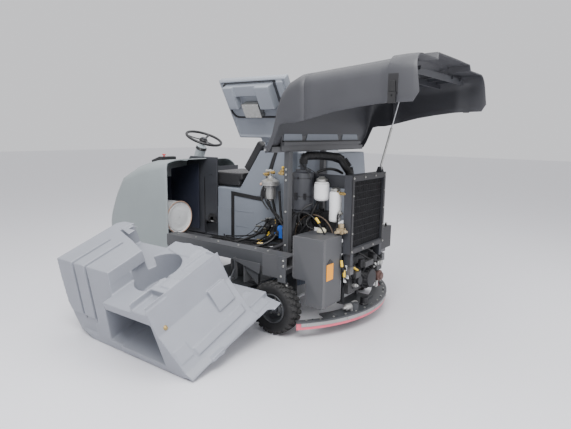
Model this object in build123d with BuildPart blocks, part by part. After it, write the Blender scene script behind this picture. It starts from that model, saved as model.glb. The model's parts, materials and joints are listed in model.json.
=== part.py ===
"""Ride-on floor scrubber opened for service: millimetres, +X forward, +Y left, +Z up.

All distances are laid out from the rear axle (x), the middle plane (y) and the floor (z).
The part's origin lies on the floor under the centre of the whole open machine.
"""

import os
from math import cos, hypot, radians, sin

from build123d import *

os.makedirs("parts", exist_ok=True)

# Place of the rear axle and of the machine's middle plane in the part's frame
AXLE_X = -545
MID_Y = -499

# Running gear
WHEEL_R = 200
WHEEL_WIDTH = 125
WHEEL_OUT = 715
AXLE_R = 20
DRIVE_X = 1720
DRIVE_R = 150

# Frame
RAIL_IN, RAIL_OUT = 540, 660
RAIL_LOW, RAIL_TOP = 500, 600
CROSS_LOW = 440
PIPE_WALL = 8

# Hinges: hood about y, side tank and lid about x
HOOD_X, HOOD_Z = 50, 1370
HOOD_HALF = 720
TANK_Y, TANK_Z = 700, 360
TANK_TIP = -110
LID_Y, LID_Z = 120, 1400
LID_TILT = 60

# Side tank, in its closed position
TANK_FRONT = 1208
TANK_SKIN = 741

# Operator's place
SEAT_Y = -120
SEAT_HALF = 240
SHELF_Z = 985
WHEEL_HUB = (1500, -100, 1420)
COLUMN_TILT = 22
FLOOR_Z = 505

# Round canister inside the nose
PORT_X, PORT_Y, PORT_Z = 1356, 372, 690
PORT_R = 150

# Scrubbing gear
DECK_X = 650
BRUSH_Y = 350
BRUSH_R = 270
ARC_X = 510
ARC_R = 1000

# Engine and cooling
FAN_X, FAN_Z = -100, 690
CRANK_X, CRANK_Z = 20, 620
ALTERNATOR_X, ALTERNATOR_Z = 190, 925
BELT_IN, BELT_OUT = 216, 246

# Gas strut of the hood
STRUT_Y = -200
STRUT_FOOT = (-400, 1215)
STRUT_HEAD = (-560, 1850)


def spot(point):
    """Point of the machine as a point of the part's frame."""
    return Vector(AXLE_X + point[0], MID_Y + point[1], point[2])


def flat(z):
    """Level plane at height z, drawn on in (x, y)."""
    return Plane(origin=spot((0, 0, z)))


def side(y):
    """Upright plane along the machine at distance y, drawn on in (x, z)."""
    return Plane(origin=spot((0, y, 0)), x_dir=(1, 0, 0), z_dir=(0, -1, 0))


def cross(x):
    """Upright plane across the machine at distance x, drawn on in (y, z)."""
    return Plane(origin=spot((x, 0, 0)), x_dir=(0, 1, 0), z_dir=(1, 0, 0))


def turn_about_x(y, z, angle):
    """Rotation of a cover about its hinge line along x through (y, z)."""
    hinge = Location(spot((0, y, z)))
    return hinge * Location((0, 0, 0), (angle, 0, 0)) * hinge.inverse()


REST = Location()
TIPPED = turn_about_x(TANK_Y, TANK_Z, TANK_TIP)
LIFTED = turn_about_x(LID_Y, LID_Z, LID_TILT)


def posed(plane, pose):
    """The plane after a cover has swung to its pose."""
    return Plane(pose * plane.location)


def slab(outline, y0, y1, mode=Mode.ADD, pose=REST):
    """Side-view outline of (x, z) points, solid from y0 to y1."""
    with BuildSketch(posed(side(y1), pose)) as outline_face:
        Polygon(*outline, align=None)
    extrude(outline_face.sketch, amount=y1 - y0, mode=mode)


def plate(outline, z0, z1, mode=Mode.ADD, pose=REST):
    """Plan outline of (x, y) points, solid from z0 to z1."""
    with BuildSketch(posed(flat(z0), pose)) as outline_face:
        Polygon(*outline, align=None)
    extrude(outline_face.sketch, amount=z1 - z0, mode=mode)


def rib(outline, x0, x1, mode=Mode.ADD, pose=REST):
    """Cross-section outline of (y, z) points, solid from x0 to x1."""
    with BuildSketch(posed(cross(x0), pose)) as outline_face:
        Polygon(*outline, align=None)
    extrude(outline_face.sketch, amount=x1 - x0, mode=mode)


def block(x0, x1, y0, y1, z0, z1, mode=Mode.ADD, pose=REST):
    """Rectangular block between six faces."""
    plate([(x0, y0), (x1, y0), (x1, y1), (x0, y1)], z0, z1, mode, pose)


def rod_x(y, z, radius, x0, x1, mode=Mode.ADD, pose=REST):
    """Round bar along x."""
    with BuildSketch(posed(cross(x0), pose)) as disc:
        with Locations((y, z)):
            Circle(radius)
    extrude(disc.sketch, amount=x1 - x0, mode=mode)


def rod_y(x, z, radius, y0, y1, mode=Mode.ADD, pose=REST):
    """Round bar along y."""
    with BuildSketch(posed(side(y1), pose)) as disc:
        with Locations((x, z)):
            Circle(radius)
    extrude(disc.sketch, amount=y1 - y0, mode=mode)


def rod_z(x, y, radius, z0, z1, mode=Mode.ADD, pose=REST):
    """Round bar along z."""
    with BuildSketch(posed(flat(z0), pose)) as disc:
        with Locations((x, y)):
            Circle(radius)
    extrude(disc.sketch, amount=z1 - z0, mode=mode)


def ring_y(x, z, outer, inner, y0, y1):
    """Ring about an axis along y."""
    with BuildSketch(side(y1)) as ring:
        with Locations((x, z)):
            Circle(outer)
            Circle(inner, mode=Mode.SUBTRACT)
    extrude(ring.sketch, amount=y1 - y0)


def hose(points, diameter, bend):
    """Pipe through the points, its corners rounded by the bend radius."""
    with BuildLine() as run:
        FilletPolyline(*[spot(point) for point in points], radius=bend)
    with BuildSketch(run.line ^ 0) as section:
        Circle(diameter / 2)
    sweep(section.sketch, path=run.line)


def save(name, part):
    """Write one finished piece as its own STEP file."""
    part.label = name
    export_step(part, f"parts/{name}.step")


# ---------------------------------------------------------------- frame

POST_Y = 501
BORE_GUIDE = 16



def member(x0, x1, y0, y1, z0, z1, *bores):
    """Straight member or plate as a solid of its own, with upright bores (x, y, radius)."""
    with BuildPart() as piece:
        block(x0, x1, y0, y1, z0, z1)
        for x, y, radius in bores:
            rod_z(x, y, radius, z0, z1, Mode.SUBTRACT)
    return piece.part


frame_members = [
    # cross members
    member(-45, 45, -600, 600, CROSS_LOW, RAIL_LOW),
    member(300, 360, -600, 600, CROSS_LOW, RAIL_LOW, (330, -450, BORE_GUIDE), (330, 450, BORE_GUIDE)),
    member(1000, 1060, -600, 600, CROSS_LOW, RAIL_LOW),
    member(1155, 1205, -600, -130, CROSS_LOW, RAIL_LOW),
    member(1155, 1205, 130, 600, CROSS_LOW, RAIL_LOW),
    member(-300, -240, -600, 300, CROSS_LOW, RAIL_LOW, (-270, -120, BORE_GUIDE), (-270, 120, BORE_GUIDE)),
    # engine bed, nose beam, foot of the left post, plate over the left wheel
    member(60, 300, -250, 250, 488, RAIL_LOW),
    member(1060, 1970, -130, 130, CROSS_LOW, RAIL_LOW, (DRIVE_X, 0, 31)),
    member(-40, 60, POST_Y - 60, RAIL_IN, RAIL_LOW, RAIL_LOW + 8),
    member(-95, 120, RAIL_OUT, RAIL_OUT + 8, 430, RAIL_TOP),
    # post beside the engine and the baffle on the hinge beam
    member(5, 45, -28, 12, RAIL_LOW, 1350),
    member(8, 20, -590, 590, 1360, 1540),
    member(-14, 8, -590, 590, 1400, 1424),
]

for middle in (-275, 275):
    for rear, front in ((-430, -300), (-240, -45), (45, 300)):
        frame_members.append(member(rear, front, middle - 25, middle + 25, CROSS_LOW, RAIL_LOW))

for low, high in ((RAIL_IN, RAIL_OUT), (-RAIL_OUT, -RAIL_IN)):
    with BuildPart() as rail:
        block(-95, 1205, low, high, RAIL_LOW, RAIL_TOP)
        block(-95, 1205, low + PIPE_WALL, high - PIPE_WALL,
              RAIL_LOW + PIPE_WALL, RAIL_TOP - PIPE_WALL, Mode.SUBTRACT)
    frame_members.append(rail.part)

for middle in (-446, 446):
    with BuildPart() as axle_hanger:
        block(-45, 45, middle - 6, middle + 6, 150, CROSS_LOW)
        rod_y(0, WHEEL_R, AXLE_R, middle - 6, middle + 6, Mode.SUBTRACT)
    frame_members.append(axle_hanger.part)

# left post, an angle section
with BuildPart() as angle_post:
    block(5, 50, POST_Y - 6, POST_Y, RAIL_LOW + 8, 1350)
    block(5, 11, POST_Y - 46, POST_Y - 6, RAIL_LOW + 8, 1350)
    for z in (640, 900, 1140, 1180, 1220):
        rod_y(32, z, 6, POST_Y - 6, POST_Y, Mode.SUBTRACT)
frame_members.append(angle_post.part)

with BuildPart() as hinge_beam:
    block(20, 70, -690, 690, 1350, 1390)
    rod_y(HOOD_X, HOOD_Z, 8, -690, -640, Mode.SUBTRACT)
    rod_y(HOOD_X, HOOD_Z, 8, 640, 690, Mode.SUBTRACT)
frame_members.append(hinge_beam.part)

with BuildPart() as canister_saddle:
    block(1205, 1450, PORT_Y - 20, PORT_Y + 20, RAIL_LOW - 30, RAIL_LOW)
    block(1380, 1450, PORT_Y - 110, PORT_Y + 110, RAIL_LOW, PORT_Z - 115)
    rod_x(PORT_Y, PORT_Z, PORT_R, 1380, 1450, Mode.SUBTRACT)
frame_members.append(canister_saddle.part)

with BuildPart() as tie_down_eye:
    slab([(1890, CROSS_LOW), (1970, CROSS_LOW), (1960, 205), (1895, 205)], -10, 10)
    rod_y(1925, 245, 20, -10, 10, Mode.SUBTRACT)
frame_members.append(tie_down_eye.part)

for x in (395, 955):
    with BuildPart() as tank_bracket:
        rib([(645, RAIL_LOW), (645, 345), (715, 340), (715, 378), (675, 430), (675, RAIL_LOW + 20),
             (660, RAIL_LOW + 20), (660, RAIL_LOW)], x - 5, x + 5)
        rod_x(TANK_Y, TANK_Z, 6, x - 5, x + 5, Mode.SUBTRACT)
    frame_members.append(tank_bracket.part)

save("chassis_frame", Compound(frame_members))

with BuildPart() as bulkhead_panels:
    for left, right, slant in ((575, 335, 12), (285, -215, 45), (-265, -560, 40)):
        rib([(left, 1430), (right, 1430), (right + slant, 1530), (left - slant, 1530)], 2, 8)
save("bulkhead_panels", bulkhead_panels.part)

with BuildPart() as rear_axle:
    rod_y(0, WHEEL_R, AXLE_R, -695, 695)
save("rear_axle", rear_axle.part)

with BuildPart() as hinge_pins:
    for low, high in ((-735, -640), (640, 735)):
        rod_y(HOOD_X, HOOD_Z, 8, low, high)
    for x in (405, 965):
        rod_x(TANK_Y, TANK_Z, 6, x - 18, x + 14)
    for x in (345, 515):
        rod_x(LID_Y, LID_Z, 6, x - 15, x + 22)
save("hinge_pins", hinge_pins.part)

# ---------------------------------------------------------------- running gear

LUGS = 22


def tyre(inner, outer):
    """Chunky tyre between two distances from the middle plane."""
    ring_y(0, WHEEL_R, WHEEL_R - 10, 112, inner, outer)
    width = outer - inner
    for row, shift in ((inner, 0), (inner + width * 0.55, 180 / LUGS)):
        with BuildSketch(side(row + width * 0.45)) as lugs:
            with Locations((0, WHEEL_R)):
                with PolarLocations(WHEEL_R - 8.2, LUGS, start_angle=shift):
                    Rectangle(15.6, 34)
        extrude(lugs.sketch, amount=width * 0.45)


def rim(inner, outer, face):
    """Dished rim with its bolt circle, its outer side at the face."""
    ring_y(0, WHEEL_R, 112, 98, inner, outer)
    ring_y(0, WHEEL_R, 98, AXLE_R + 0.5, face - 8, face + 8)
    ring_y(0, WHEEL_R, 38, AXLE_R + 0.5, face - 34, face + 34)
    for index in range(5):
        angle = radians(72 * index)
        rod_y(62 * sin(angle), WHEEL_R + 62 * cos(angle), 7, face - 8, face + 16)


WHEEL_IN = WHEEL_OUT - WHEEL_WIDTH

with BuildPart() as rear_tyre_left:
    tyre(WHEEL_IN, WHEEL_OUT)
save("rear_tyre_left", rear_tyre_left.part)

with BuildPart() as rear_rim_left:
    rim(WHEEL_IN + 8, WHEEL_OUT - 8, 652)
save("rear_rim_left", rear_rim_left.part)

with BuildPart() as rear_tyre_right:
    tyre(-WHEEL_OUT, -WHEEL_IN)
save("rear_tyre_right", rear_tyre_right.part)

with BuildPart() as rear_rim_right:
    rim(-WHEEL_OUT + 8, -WHEEL_IN - 8, -652)
save("rear_rim_right", rear_rim_right.part)

with BuildPart() as front_fork:
    rod_z(DRIVE_X, 0, 30, 430, 502)
    rod_z(DRIVE_X, 0, 45, 502, 514)
    block(DRIVE_X - 60, DRIVE_X + 60, -95, 95, 390, 430)
    for low, high in ((-95, -80), (80, 95)):
        block(DRIVE_X - 32, DRIVE_X + 32, low, high, 110, 390)
    rod_y(DRIVE_X, DRIVE_R, 15.5, -95, 95, Mode.SUBTRACT)
save("front_fork", front_fork.part)

with BuildPart() as front_wheel:
    rod_y(DRIVE_X, DRIVE_R, DRIVE_R, -55, 55)
    fillet(front_wheel.edges().filter_by(GeomType.CIRCLE), radius=12)
    rod_y(DRIVE_X, DRIVE_R, 80, -66, 66)
    rod_y(DRIVE_X, DRIVE_R, 15, -92, 92)
save("front_wheel", front_wheel.part)

# ---------------------------------------------------------------- nose and operator's place

# station along x, half width, height of the shoulder, height of the top
NOSE_STATIONS = (
    (1215, 640, 1215, 1245),
    (1500, 640, 1152, 1222),
    (1720, 635, 1078, 1165),
    (1860, 622, 1040, 1085),
    (1980, 615, 880, 950),
    (2100, 590, 700, 740),
    (2145, 570, 600, 630),
)
NOSE_LOW = 300
NOSE_WALL = 10

STEER = Plane(origin=spot(WHEEL_HUB), x_dir=(0, 1, 0),
              z_dir=(-sin(radians(COLUMN_TILT)), 0, cos(radians(COLUMN_TILT))))


def nose_section(x, half, shoulder, top, low):
    """One cross-section of the nose."""
    with BuildSketch(cross(x)) as section:
        Polygon((-half, low), (half, low), (half, shoulder), (half - 130, top),
                (130 - half, top), (-half, shoulder), align=None)
    return section.sketch


with BuildPart() as nose_shell:
    loft([nose_section(x, half, shoulder, top, NOSE_LOW)
          for x, half, shoulder, top in NOSE_STATIONS], ruled=True)
    inner_sections = []
    for x, half, shoulder, top in NOSE_STATIONS:
        reach = x - NOSE_WALL if x in (NOSE_STATIONS[0][0], NOSE_STATIONS[-1][0]) else x
        inner_sections.append(nose_section(reach, half - NOSE_WALL, shoulder - NOSE_WALL,
                                           top - NOSE_WALL, NOSE_LOW - 20))
    loft(inner_sections, ruled=True, mode=Mode.SUBTRACT)
    block(1200, 1560, -700, 155, 200, 1300, Mode.SUBTRACT)
    with BuildSketch(STEER):
        Circle(64)
    extrude(amount=-420, mode=Mode.SUBTRACT)
save("nose_shell", nose_shell.part)

with BuildPart() as steering_column:
    with BuildSketch(STEER.offset(-560)):
        Circle(60)
    with BuildSketch(STEER.offset(-80)):
        Circle(46)
    loft()
    with BuildSketch(STEER.offset(-80)):
        Circle(14)
    extrude(amount=44)
save("steering_column", steering_column.part)

with BuildPart() as steering_wheel:
    with BuildLine(STEER) as rim_path:
        CenterArc((0, 0), 178, 0, 360)
    with BuildSketch(Plane(origin=rim_path.line @ 0, x_dir=STEER.z_dir, z_dir=rim_path.line % 0)):
        Circle(13)
    sweep()
    with BuildSketch(STEER.offset(-34)):
        Circle(40)
    extrude(amount=34)
    with BuildSketch(STEER.offset(-34)):
        Circle(15)
    extrude(amount=18, mode=Mode.SUBTRACT)
    for heading in (90, 210, 330):
        with BuildSketch(STEER.offset(-14)):
            with PolarLocations(102, 1, start_angle=heading):
                Rectangle(140, 26)
        extrude(amount=9)
    with BuildSketch(STEER.offset(-8)):
        Circle(28)
    extrude(amount=10, mode=Mode.SUBTRACT)
save("steering_wheel", steering_wheel.part)

with BuildPart() as horn_button:
    with BuildSketch(STEER.offset(-3)):
        Circle(27)
    extrude(amount=9)
    fillet(horn_button.faces().sort_by(SortBy.AREA)[-2:].edges(), radius=2)
save("horn_button", horn_button.part)

with BuildPart() as control_pod:
    slab([(1560, 1209), (1560, 1246), (1600, 1250), (1715, 1212), (1715, 1168)], 220, 390)
    rod_z(1582, 350, 7.5, 1230, 1260, Mode.SUBTRACT)
save("control_pod", control_pod.part)

with BuildPart() as emergency_stop:
    rod_z(1582, 350, 7, 1242, 1262)
    rod_z(1582, 350, 17, 1262, 1274)
save("emergency_stop", emergency_stop.part)

with BuildPart() as footwell_side_panel:
    slab([(1085, 640), (1245, 640), (1245, 520), (1490, 520), (1490, 1195), (1440, 1255), (1085, 1255)],
         130, 150)
save("footwell_side_panel", footwell_side_panel.part)

footwell_plates = [
    member(1085, 1800, -535, 128, FLOOR_Z + 1, FLOOR_Z + 11, (DRIVE_X, 0, 52)),
    member(1788, 1800, -590, 128, FLOOR_Z + 11, 850),
    member(1512, 1800, -590, 128, 850, 860),
    member(1502, 1512, -620, 128, 850, 1130),
]
save("footwell_tub", Compound(footwell_plates))


def pedal(y, foot_x):
    """Floor-hinged pedal plate with its heel knuckle."""
    lean = radians(32)
    along, up = cos(lean), sin(lean)
    length = 200
    slab([(foot_x, 532), (foot_x + length * along, 532 + length * up),
          (foot_x + length * along - 8 * up, 540 + length * up), (foot_x - 8 * up, 540)],
         y - 45, y + 45)
    rod_y(foot_x, 534, 9, y - 45, y + 45)


with BuildPart() as drive_pedal:
    pedal(-260, 1575)
save("drive_pedal", drive_pedal.part)

with BuildPart() as brake_pedal:
    pedal(-60, 1575)
save("brake_pedal", brake_pedal.part)

# slope of the seat back
BACK_FOOT = (800, SHELF_Z + 5)
BACK_TOP = (565, 1335)
BACK_RUN = hypot(BACK_TOP[0] - BACK_FOOT[0], BACK_TOP[1] - BACK_FOOT[1])


def on_back(along, out):
    """Point (x, z) on the slope of the seat back, along it and out from it."""
    ux = (BACK_TOP[0] - BACK_FOOT[0]) / BACK_RUN
    uz = (BACK_TOP[1] - BACK_FOOT[1]) / BACK_RUN
    return (BACK_FOOT[0] + ux * along + uz * out, BACK_FOOT[1] + uz * along - ux * out)


# The moulding is one part, held as flat walls that meet along their edges
TANK_WALL = 10
NECK_X = 310
FAR_Y = -725
LOW_Y = -520


def wall(outline, y0, y1):
    """Wall with a side-view outline, as a solid of its own."""
    with BuildPart() as piece:
        slab(outline, y0, y1)
    return piece.part


def cross_wall(outline, x0, x1):
    """Wall with a rear-view outline, as a solid of its own."""
    with BuildPart() as piece:
        rib(outline, x0, x1)
    return piece.part


def lid_ear(x):
    """Hinge ear of the tank lid, with its bore."""
    with BuildPart() as piece:
        rib([(104, 1335), (104, 1413), (136, 1413), (136, 1335)], x - 8, x + 8)
        rod_x(LID_Y, LID_Z, 6, x - 10, x + 10, Mode.SUBTRACT)
    return piece.part


UPPER_SIDE = [(300, SHELF_Z), (803, SHELF_Z), BACK_TOP, (300, 1335)]
recovery_walls = [
    # left and right sides
    member(300, 1075, 140, 150, 505, SHELF_Z),
    wall(UPPER_SIDE, 140, 150),
    member(300, 1075, FAR_Y - TANK_WALL, FAR_Y, 612, SHELF_Z),
    wall(UPPER_SIDE, FAR_Y - TANK_WALL, FAR_Y),
    # front under the seat shelf
    member(1065, 1075, LOW_Y, 140, 505, SHELF_Z),
    member(1065, 1075, FAR_Y, LOW_Y, 612, SHELF_Z),
    # floors, with the step over the scrub deck
    member(300, 1065, LOW_Y, 140, 505, 515),
    member(300, 1065, LOW_Y - TANK_WALL, LOW_Y, 505, 612),
    member(300, 1065, FAR_Y, LOW_Y, 612, 622),
    # seat shelf, slope of the seat back and top
    wall([(797, SHELF_Z - 10), (1065, SHELF_Z - 10), (1065, SHELF_Z), (803, SHELF_Z)], FAR_Y, 140),
    wall([(803, SHELF_Z), BACK_TOP, (558, 1325), (797, SHELF_Z - 10)], FAR_Y, 140),
    wall([(300, 1325), (558, 1325), BACK_TOP, (300, 1335)], FAR_Y, 140),
    # back of the seat part, round the neck of the rear block
    member(300, NECK_X, LOW_Y, 140, 515, 730),
    member(300, NECK_X, FAR_Y, LOW_Y, 622, 730),
    member(300, NECK_X, FAR_Y, 140, 1295, 1325),
    member(300, NECK_X, -45, 140, 730, 1295),
    cross_wall([(FAR_Y, 1150), (-692, 1295), (FAR_Y, 1295)], 300, NECK_X),
    # rear block
    member(0, 300, FAR_Y - TANK_WALL, -35, 720, 730),
    member(0, 300, -45, -35, 730, 1295),
    member(0, 300, FAR_Y - TANK_WALL, FAR_Y, 730, 1150),
    cross_wall([(FAR_Y - TANK_WALL, 1150), (FAR_Y, 1150), (-692, 1295), (-702, 1295)], 0, 300),
    cross_wall([(-702, 1295), (-35, 1295), (-35, 1325), (-695, 1325)], 0, 300),
    # its back, round the square port of the vacuum duct
    member(0, 10, FAR_Y, -45, 730, 765),
    member(0, 10, FAR_Y, -600, 765, 845),
    member(0, 10, -520, -45, 765, 845),
    cross_wall([(FAR_Y, 845), (-45, 845), (-45, 1295), (-692, 1295), (FAR_Y, 1150)], 0, 10),
    lid_ear(340),
    lid_ear(520),
]
save("recovery_tank", Compound(recovery_walls))

with BuildPart() as tank_gasket:
    slab([(900, 520), (900, 958), (555, 932), (410, 1325), (376, 1325), (533, 897), (866, 920), (866, 520)],
         150, 158)
save("tank_gasket", tank_gasket.part)

with BuildPart() as seat_frame:
    block(815, 1190, SEAT_Y - 200, SEAT_Y + 200, SHELF_Z + 1, SHELF_Z + 13)
    slab([on_back(14, 12), on_back(430, 12), on_back(430, 22), on_back(14, 22)],
         SEAT_Y - 200, SEAT_Y + 200)
save("seat_frame", seat_frame.part)

with BuildPart() as seat_cushion:
    block(790, 1230, SEAT_Y - SEAT_HALF, SEAT_Y + SEAT_HALF, SHELF_Z + 14, 1122)
    block(700, 830, SEAT_Y - SEAT_HALF, SEAT_Y + SEAT_HALF, SHELF_Z, 1060, Mode.SUBTRACT)
    fillet(seat_cushion.edges().filter_by(Axis.Z), radius=24)
save("seat_cushion", seat_cushion.part)

with BuildPart() as seat_back:
    slab([on_back(150, 24), on_back(460, 24), on_back(460, 100), on_back(150, 100)],
         SEAT_Y - SEAT_HALF, SEAT_Y + SEAT_HALF)
    fillet(seat_back.faces().sort_by(Axis.Z)[-1].edges().filter_by(Axis.Y, reverse=True), radius=24)
save("seat_back", seat_back.part)

# ---------------------------------------------------------------- front canister

with BuildPart() as front_canister:
    rod_x(PORT_Y, PORT_Z, PORT_R, PORT_X + 12, PORT_X + 330)
    rod_x(PORT_Y, PORT_Z, PORT_R + 6, PORT_X, PORT_X + 20)
    rod_x(PORT_Y, PORT_Z, PORT_R - 14, PORT_X, PORT_X + 320, Mode.SUBTRACT)
save("front_canister", front_canister.part)

with BuildPart() as canister_cap:
    rod_x(PORT_Y, PORT_Z, PORT_R - 15, PORT_X + 5, PORT_X + 20)
    rod_x(PORT_Y, PORT_Z, PORT_R - 32, PORT_X, PORT_X + 8, Mode.SUBTRACT)
    block(PORT_X + 1, PORT_X + 8, PORT_Y - 12, PORT_Y + 12, PORT_Z - 85, PORT_Z + 85)
save("canister_cap", canister_cap.part)

# ---------------------------------------------------------------- side tank, tipped out


def tank_slab(outline, y0, y1, mode=Mode.ADD):
    """Side-view outline of the side tank in its closed position, made in its tipped pose."""
    slab(outline, y0, y1, mode, TIPPED)


def tank_block(x0, x1, y0, y1, z0, z1, mode=Mode.ADD):
    """Block of the side tank in its closed position, made in its tipped pose."""
    block(x0, x1, y0, y1, z0, z1, mode, TIPPED)


FRONT_FACE = [(TANK_FRONT, 1300), (TANK_FRONT, 650), (1150, 612), (1040, 612), (1066, 730),
              (800, 820), (600, 900), (600, 1300)]
FRONT_LOW = [(TANK_FRONT, 1300), (TANK_FRONT, 650), (1150, 612), (600, 612), (600, 1300)]
MIDDLE_FACE = [(600, 1300), (600, 612), (330, 612), (150, 660), (150, 1300)]
SKIN = [(TANK_FRONT, 1300), (TANK_FRONT, 430), (0, 430), (-60, 440), (-139, 455), (-142, 531),
        (-92, 550), (-73, 984), (-93, 1023), (-4, 1300)]

with BuildPart() as side_tank:
    tank_slab(FRONT_FACE, 160, 330)
    tank_slab(FRONT_LOW, 330, 729)
    tank_slab(MIDDLE_FACE, 252, 729)
    # sloping back wall down to the rear flange
    plate([(150, 240), (110, 450), (-30, 690), (-80, 715), (-80, 729), (160, 729)], 640, 1300,
          Mode.ADD, TIPPED)
    plate([(150, 674), (-60, 714), (-60, 729), (150, 729)], 480, 640, Mode.ADD, TIPPED)
    tank_block(0, TANK_FRONT, 685, 729, 430, 620)
    tank_slab(SKIN, 729, TANK_SKIN)
    # slanting front face, and the top falling towards it
    plate([(TANK_FRONT, 300), (TANK_FRONT + 80, 300), (TANK_FRONT + 80, 760), (1165, 760)], 400, 1320,
          Mode.SUBTRACT, TIPPED)
    tank_slab([(950, 1301), (TANK_FRONT + 5, 1249), (TANK_FRONT + 5, 1320), (950, 1320)], 150, 760,
              Mode.SUBTRACT)
    # top of the front block, falling towards the seat
    rib([(150, 1192), (742, 1299), (742, 1330), (150, 1330)], 600, TANK_FRONT + 5, Mode.SUBTRACT, TIPPED)
    # round scoop over the gas regulator and the channel above it
    rod_y(455, 930, 175, 250, 455, Mode.SUBTRACT, TIPPED)
    tank_block(298, 601, 250, 318, 1040, 1301, Mode.SUBTRACT)
    # shallow steps in the inner face
    tank_block(149, 290, 250, 300, 1130, 1301, Mode.SUBTRACT)
    tank_block(149, 250, 250, 266, 659, 900, Mode.SUBTRACT)
    # two grooves of the front block, running over its top edge
    for x in (850, 1000):
        tank_block(x, x + 22, 159, 178, 900, 1301, Mode.SUBTRACT)
        tank_slab([(x, 1170), (x + 22, 1170), (x + 22, 1301), (x, 1301)], 178, 190, Mode.SUBTRACT)
    # basin under the lid
    rib([(372, 1305), (430, 1190), (500, 1110), (500, 800), (690, 800), (690, 1305)], 150, 600,
        Mode.SUBTRACT, TIPPED)
    rib([(395, 1305), (450, 1150), (500, 1110), (500, 800), (685, 800), (685, 1305)], 600, 725,
        Mode.SUBTRACT, TIPPED)
    # pads on the sloping wall and the hinge lugs
    for x in (409, 969):
        rib([(688, 430), (685, 352), (700, 343), (715, 352), (741, 430)], x - 6, x + 6, Mode.ADD, TIPPED)
    rod_x(TANK_Y, TANK_Z, 6.5, 402, 416, Mode.SUBTRACT, TIPPED)
    rod_x(TANK_Y, TANK_Z, 6.5, 962, 976, Mode.SUBTRACT, TIPPED)
save("side_tank", side_tank.part)

# ---------------------------------------------------------------- tank lid, lifted

LID_BACK, LID_FRONT = 85, 760

with BuildPart() as tank_lid:
    block(LID_BACK, LID_FRONT, 190, 722, 1362, 1405, Mode.ADD, LIFTED)
    plate([(LID_BACK + 60, 240), (LID_FRONT - 60, 240), (LID_FRONT - 60, 680), (LID_BACK + 60, 680)],
          1405, 1432, Mode.ADD, LIFTED)
    # neck towards the hinge
    block(230, 545, 142, 190, 1380, 1405, Mode.ADD, LIFTED)
    for x in (364, 496):
        rib([(108, 1390), (108, 1412), (145, 1405), (145, 1385)], x - 14, x + 14, Mode.ADD, LIFTED)
    rod_x(LID_Y, LID_Z, 6.5, 350, 515, Mode.SUBTRACT, LIFTED)
    # moulded bulges of the underside
    block(600, 700, 490, 680, 1300, 1362, Mode.ADD, LIFTED)
    block(220, 360, 490, 680, 1286, 1362, Mode.ADD, LIFTED)
    block(360, 600, 590, 680, 1320, 1362, Mode.ADD, LIFTED)
save("tank_lid", tank_lid.part)

with BuildPart() as lid_gasket:
    with BuildSketch(posed(flat(1352), LIFTED)):
        with Locations((430, 545)):
            RectangleRounded(620, 320, 70)
            RectangleRounded(596, 296, 58, mode=Mode.SUBTRACT)
    extrude(amount=10)
save("lid_gasket", lid_gasket.part)

with BuildPart() as strainer_box:
    block(390, 560, 410, 530, 1306, 1362, Mode.ADD, LIFTED)
    block(380, 570, 430, 440, 1352, 1362, Mode.SUBTRACT, LIFTED)
save("strainer_box", strainer_box.part)

# ---------------------------------------------------------------- hood, open

HOOD_WALL = 12
HOOD_SHAPE = [(80, 1356), (60, 1340), (-60, 1395), (-120, 1548), (-186, 1556), (-491, 1628),
              (-792, 1671), (-1016, 1678), (-1051, 1735), (-1048, 1775), (-1019, 1963), (-862, 1957),
              (-835, 1938), (-318, 1892), (-215, 1887), (-150, 1848), (-90, 1775), (-50, 1667),
              (-20, 1500), (80, 1390)]
HOOD_INSIDE = [(150, 1300), (-60, 1300), (-491, 1560), (-1100, 1600), (-1100, 1951), (-862, 1945),
               (-838, 1926), (-320, 1880), (-220, 1875), (-158, 1838), (-102, 1770), (-70, 1790),
               (150, 1650)]
HOOD_ROOF = [(-345, 1880), (-420, 1938), (-835, 1985), (-1008, 2008), (-1019, 1950), (-862, 1945),
             (-838, 1926)]
LATCH_X, LATCH_Z = -892, 1725

with BuildPart() as hood:
    slab(HOOD_SHAPE, -HOOD_HALF, HOOD_HALF)
    slab(HOOD_ROOF, -330, 330)
    slab(HOOD_INSIDE, HOOD_WALL - HOOD_HALF, HOOD_HALF - HOOD_WALL, Mode.SUBTRACT)
    slab([(-440, 1870), (-440, 1925), (-838, 1972), (-1030, 1996), (-1030, 1940), (-862, 1935),
          (-838, 1920)], -316, 316, Mode.SUBTRACT)
    rod_y(HOOD_X, HOOD_Z, 8.5, -HOOD_HALF, HOOD_HALF, Mode.SUBTRACT)
    # raised band round the rear, with the recesses of the latches
    band = [(-850, 1676), (-1016, 1678), (-1051, 1735), (-1048, 1775), (-1027, 1900), (-850, 1900)]
    slab(band, HOOD_HALF, HOOD_HALF + 7)
    slab(band, -HOOD_HALF - 7, -HOOD_HALF)
    for low, high in ((HOOD_HALF, HOOD_HALF + 8), (-HOOD_HALF - 8, -HOOD_HALF)):
        block(LATCH_X - 28, LATCH_X + 28, low, high, LATCH_Z, LATCH_Z + 110, Mode.SUBTRACT)
    # bracket of the gas strut
    slab([(-545, 1950), (-575, 1950), (-572, 1838), (-548, 1838)], STRUT_Y + 14, STRUT_Y + 24)
save("hood", hood.part)

with BuildPart() as hood_latches:
    for low, high in ((HOOD_HALF + 9, HOOD_HALF + 23), (-HOOD_HALF - 23, -HOOD_HALF - 9)):
        block(LATCH_X - 27, LATCH_X + 27, low, high, LATCH_Z - 55, LATCH_Z + 12)
save("hood_latches", hood_latches.part)

STRUT_RUN = hypot(STRUT_HEAD[0] - STRUT_FOOT[0], STRUT_HEAD[1] - STRUT_FOOT[1])
STRUT = Plane(origin=spot((STRUT_FOOT[0], STRUT_Y, STRUT_FOOT[1])), x_dir=(0, 1, 0),
              z_dir=(STRUT_HEAD[0] - STRUT_FOOT[0], 0, STRUT_HEAD[1] - STRUT_FOOT[1]))

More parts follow.
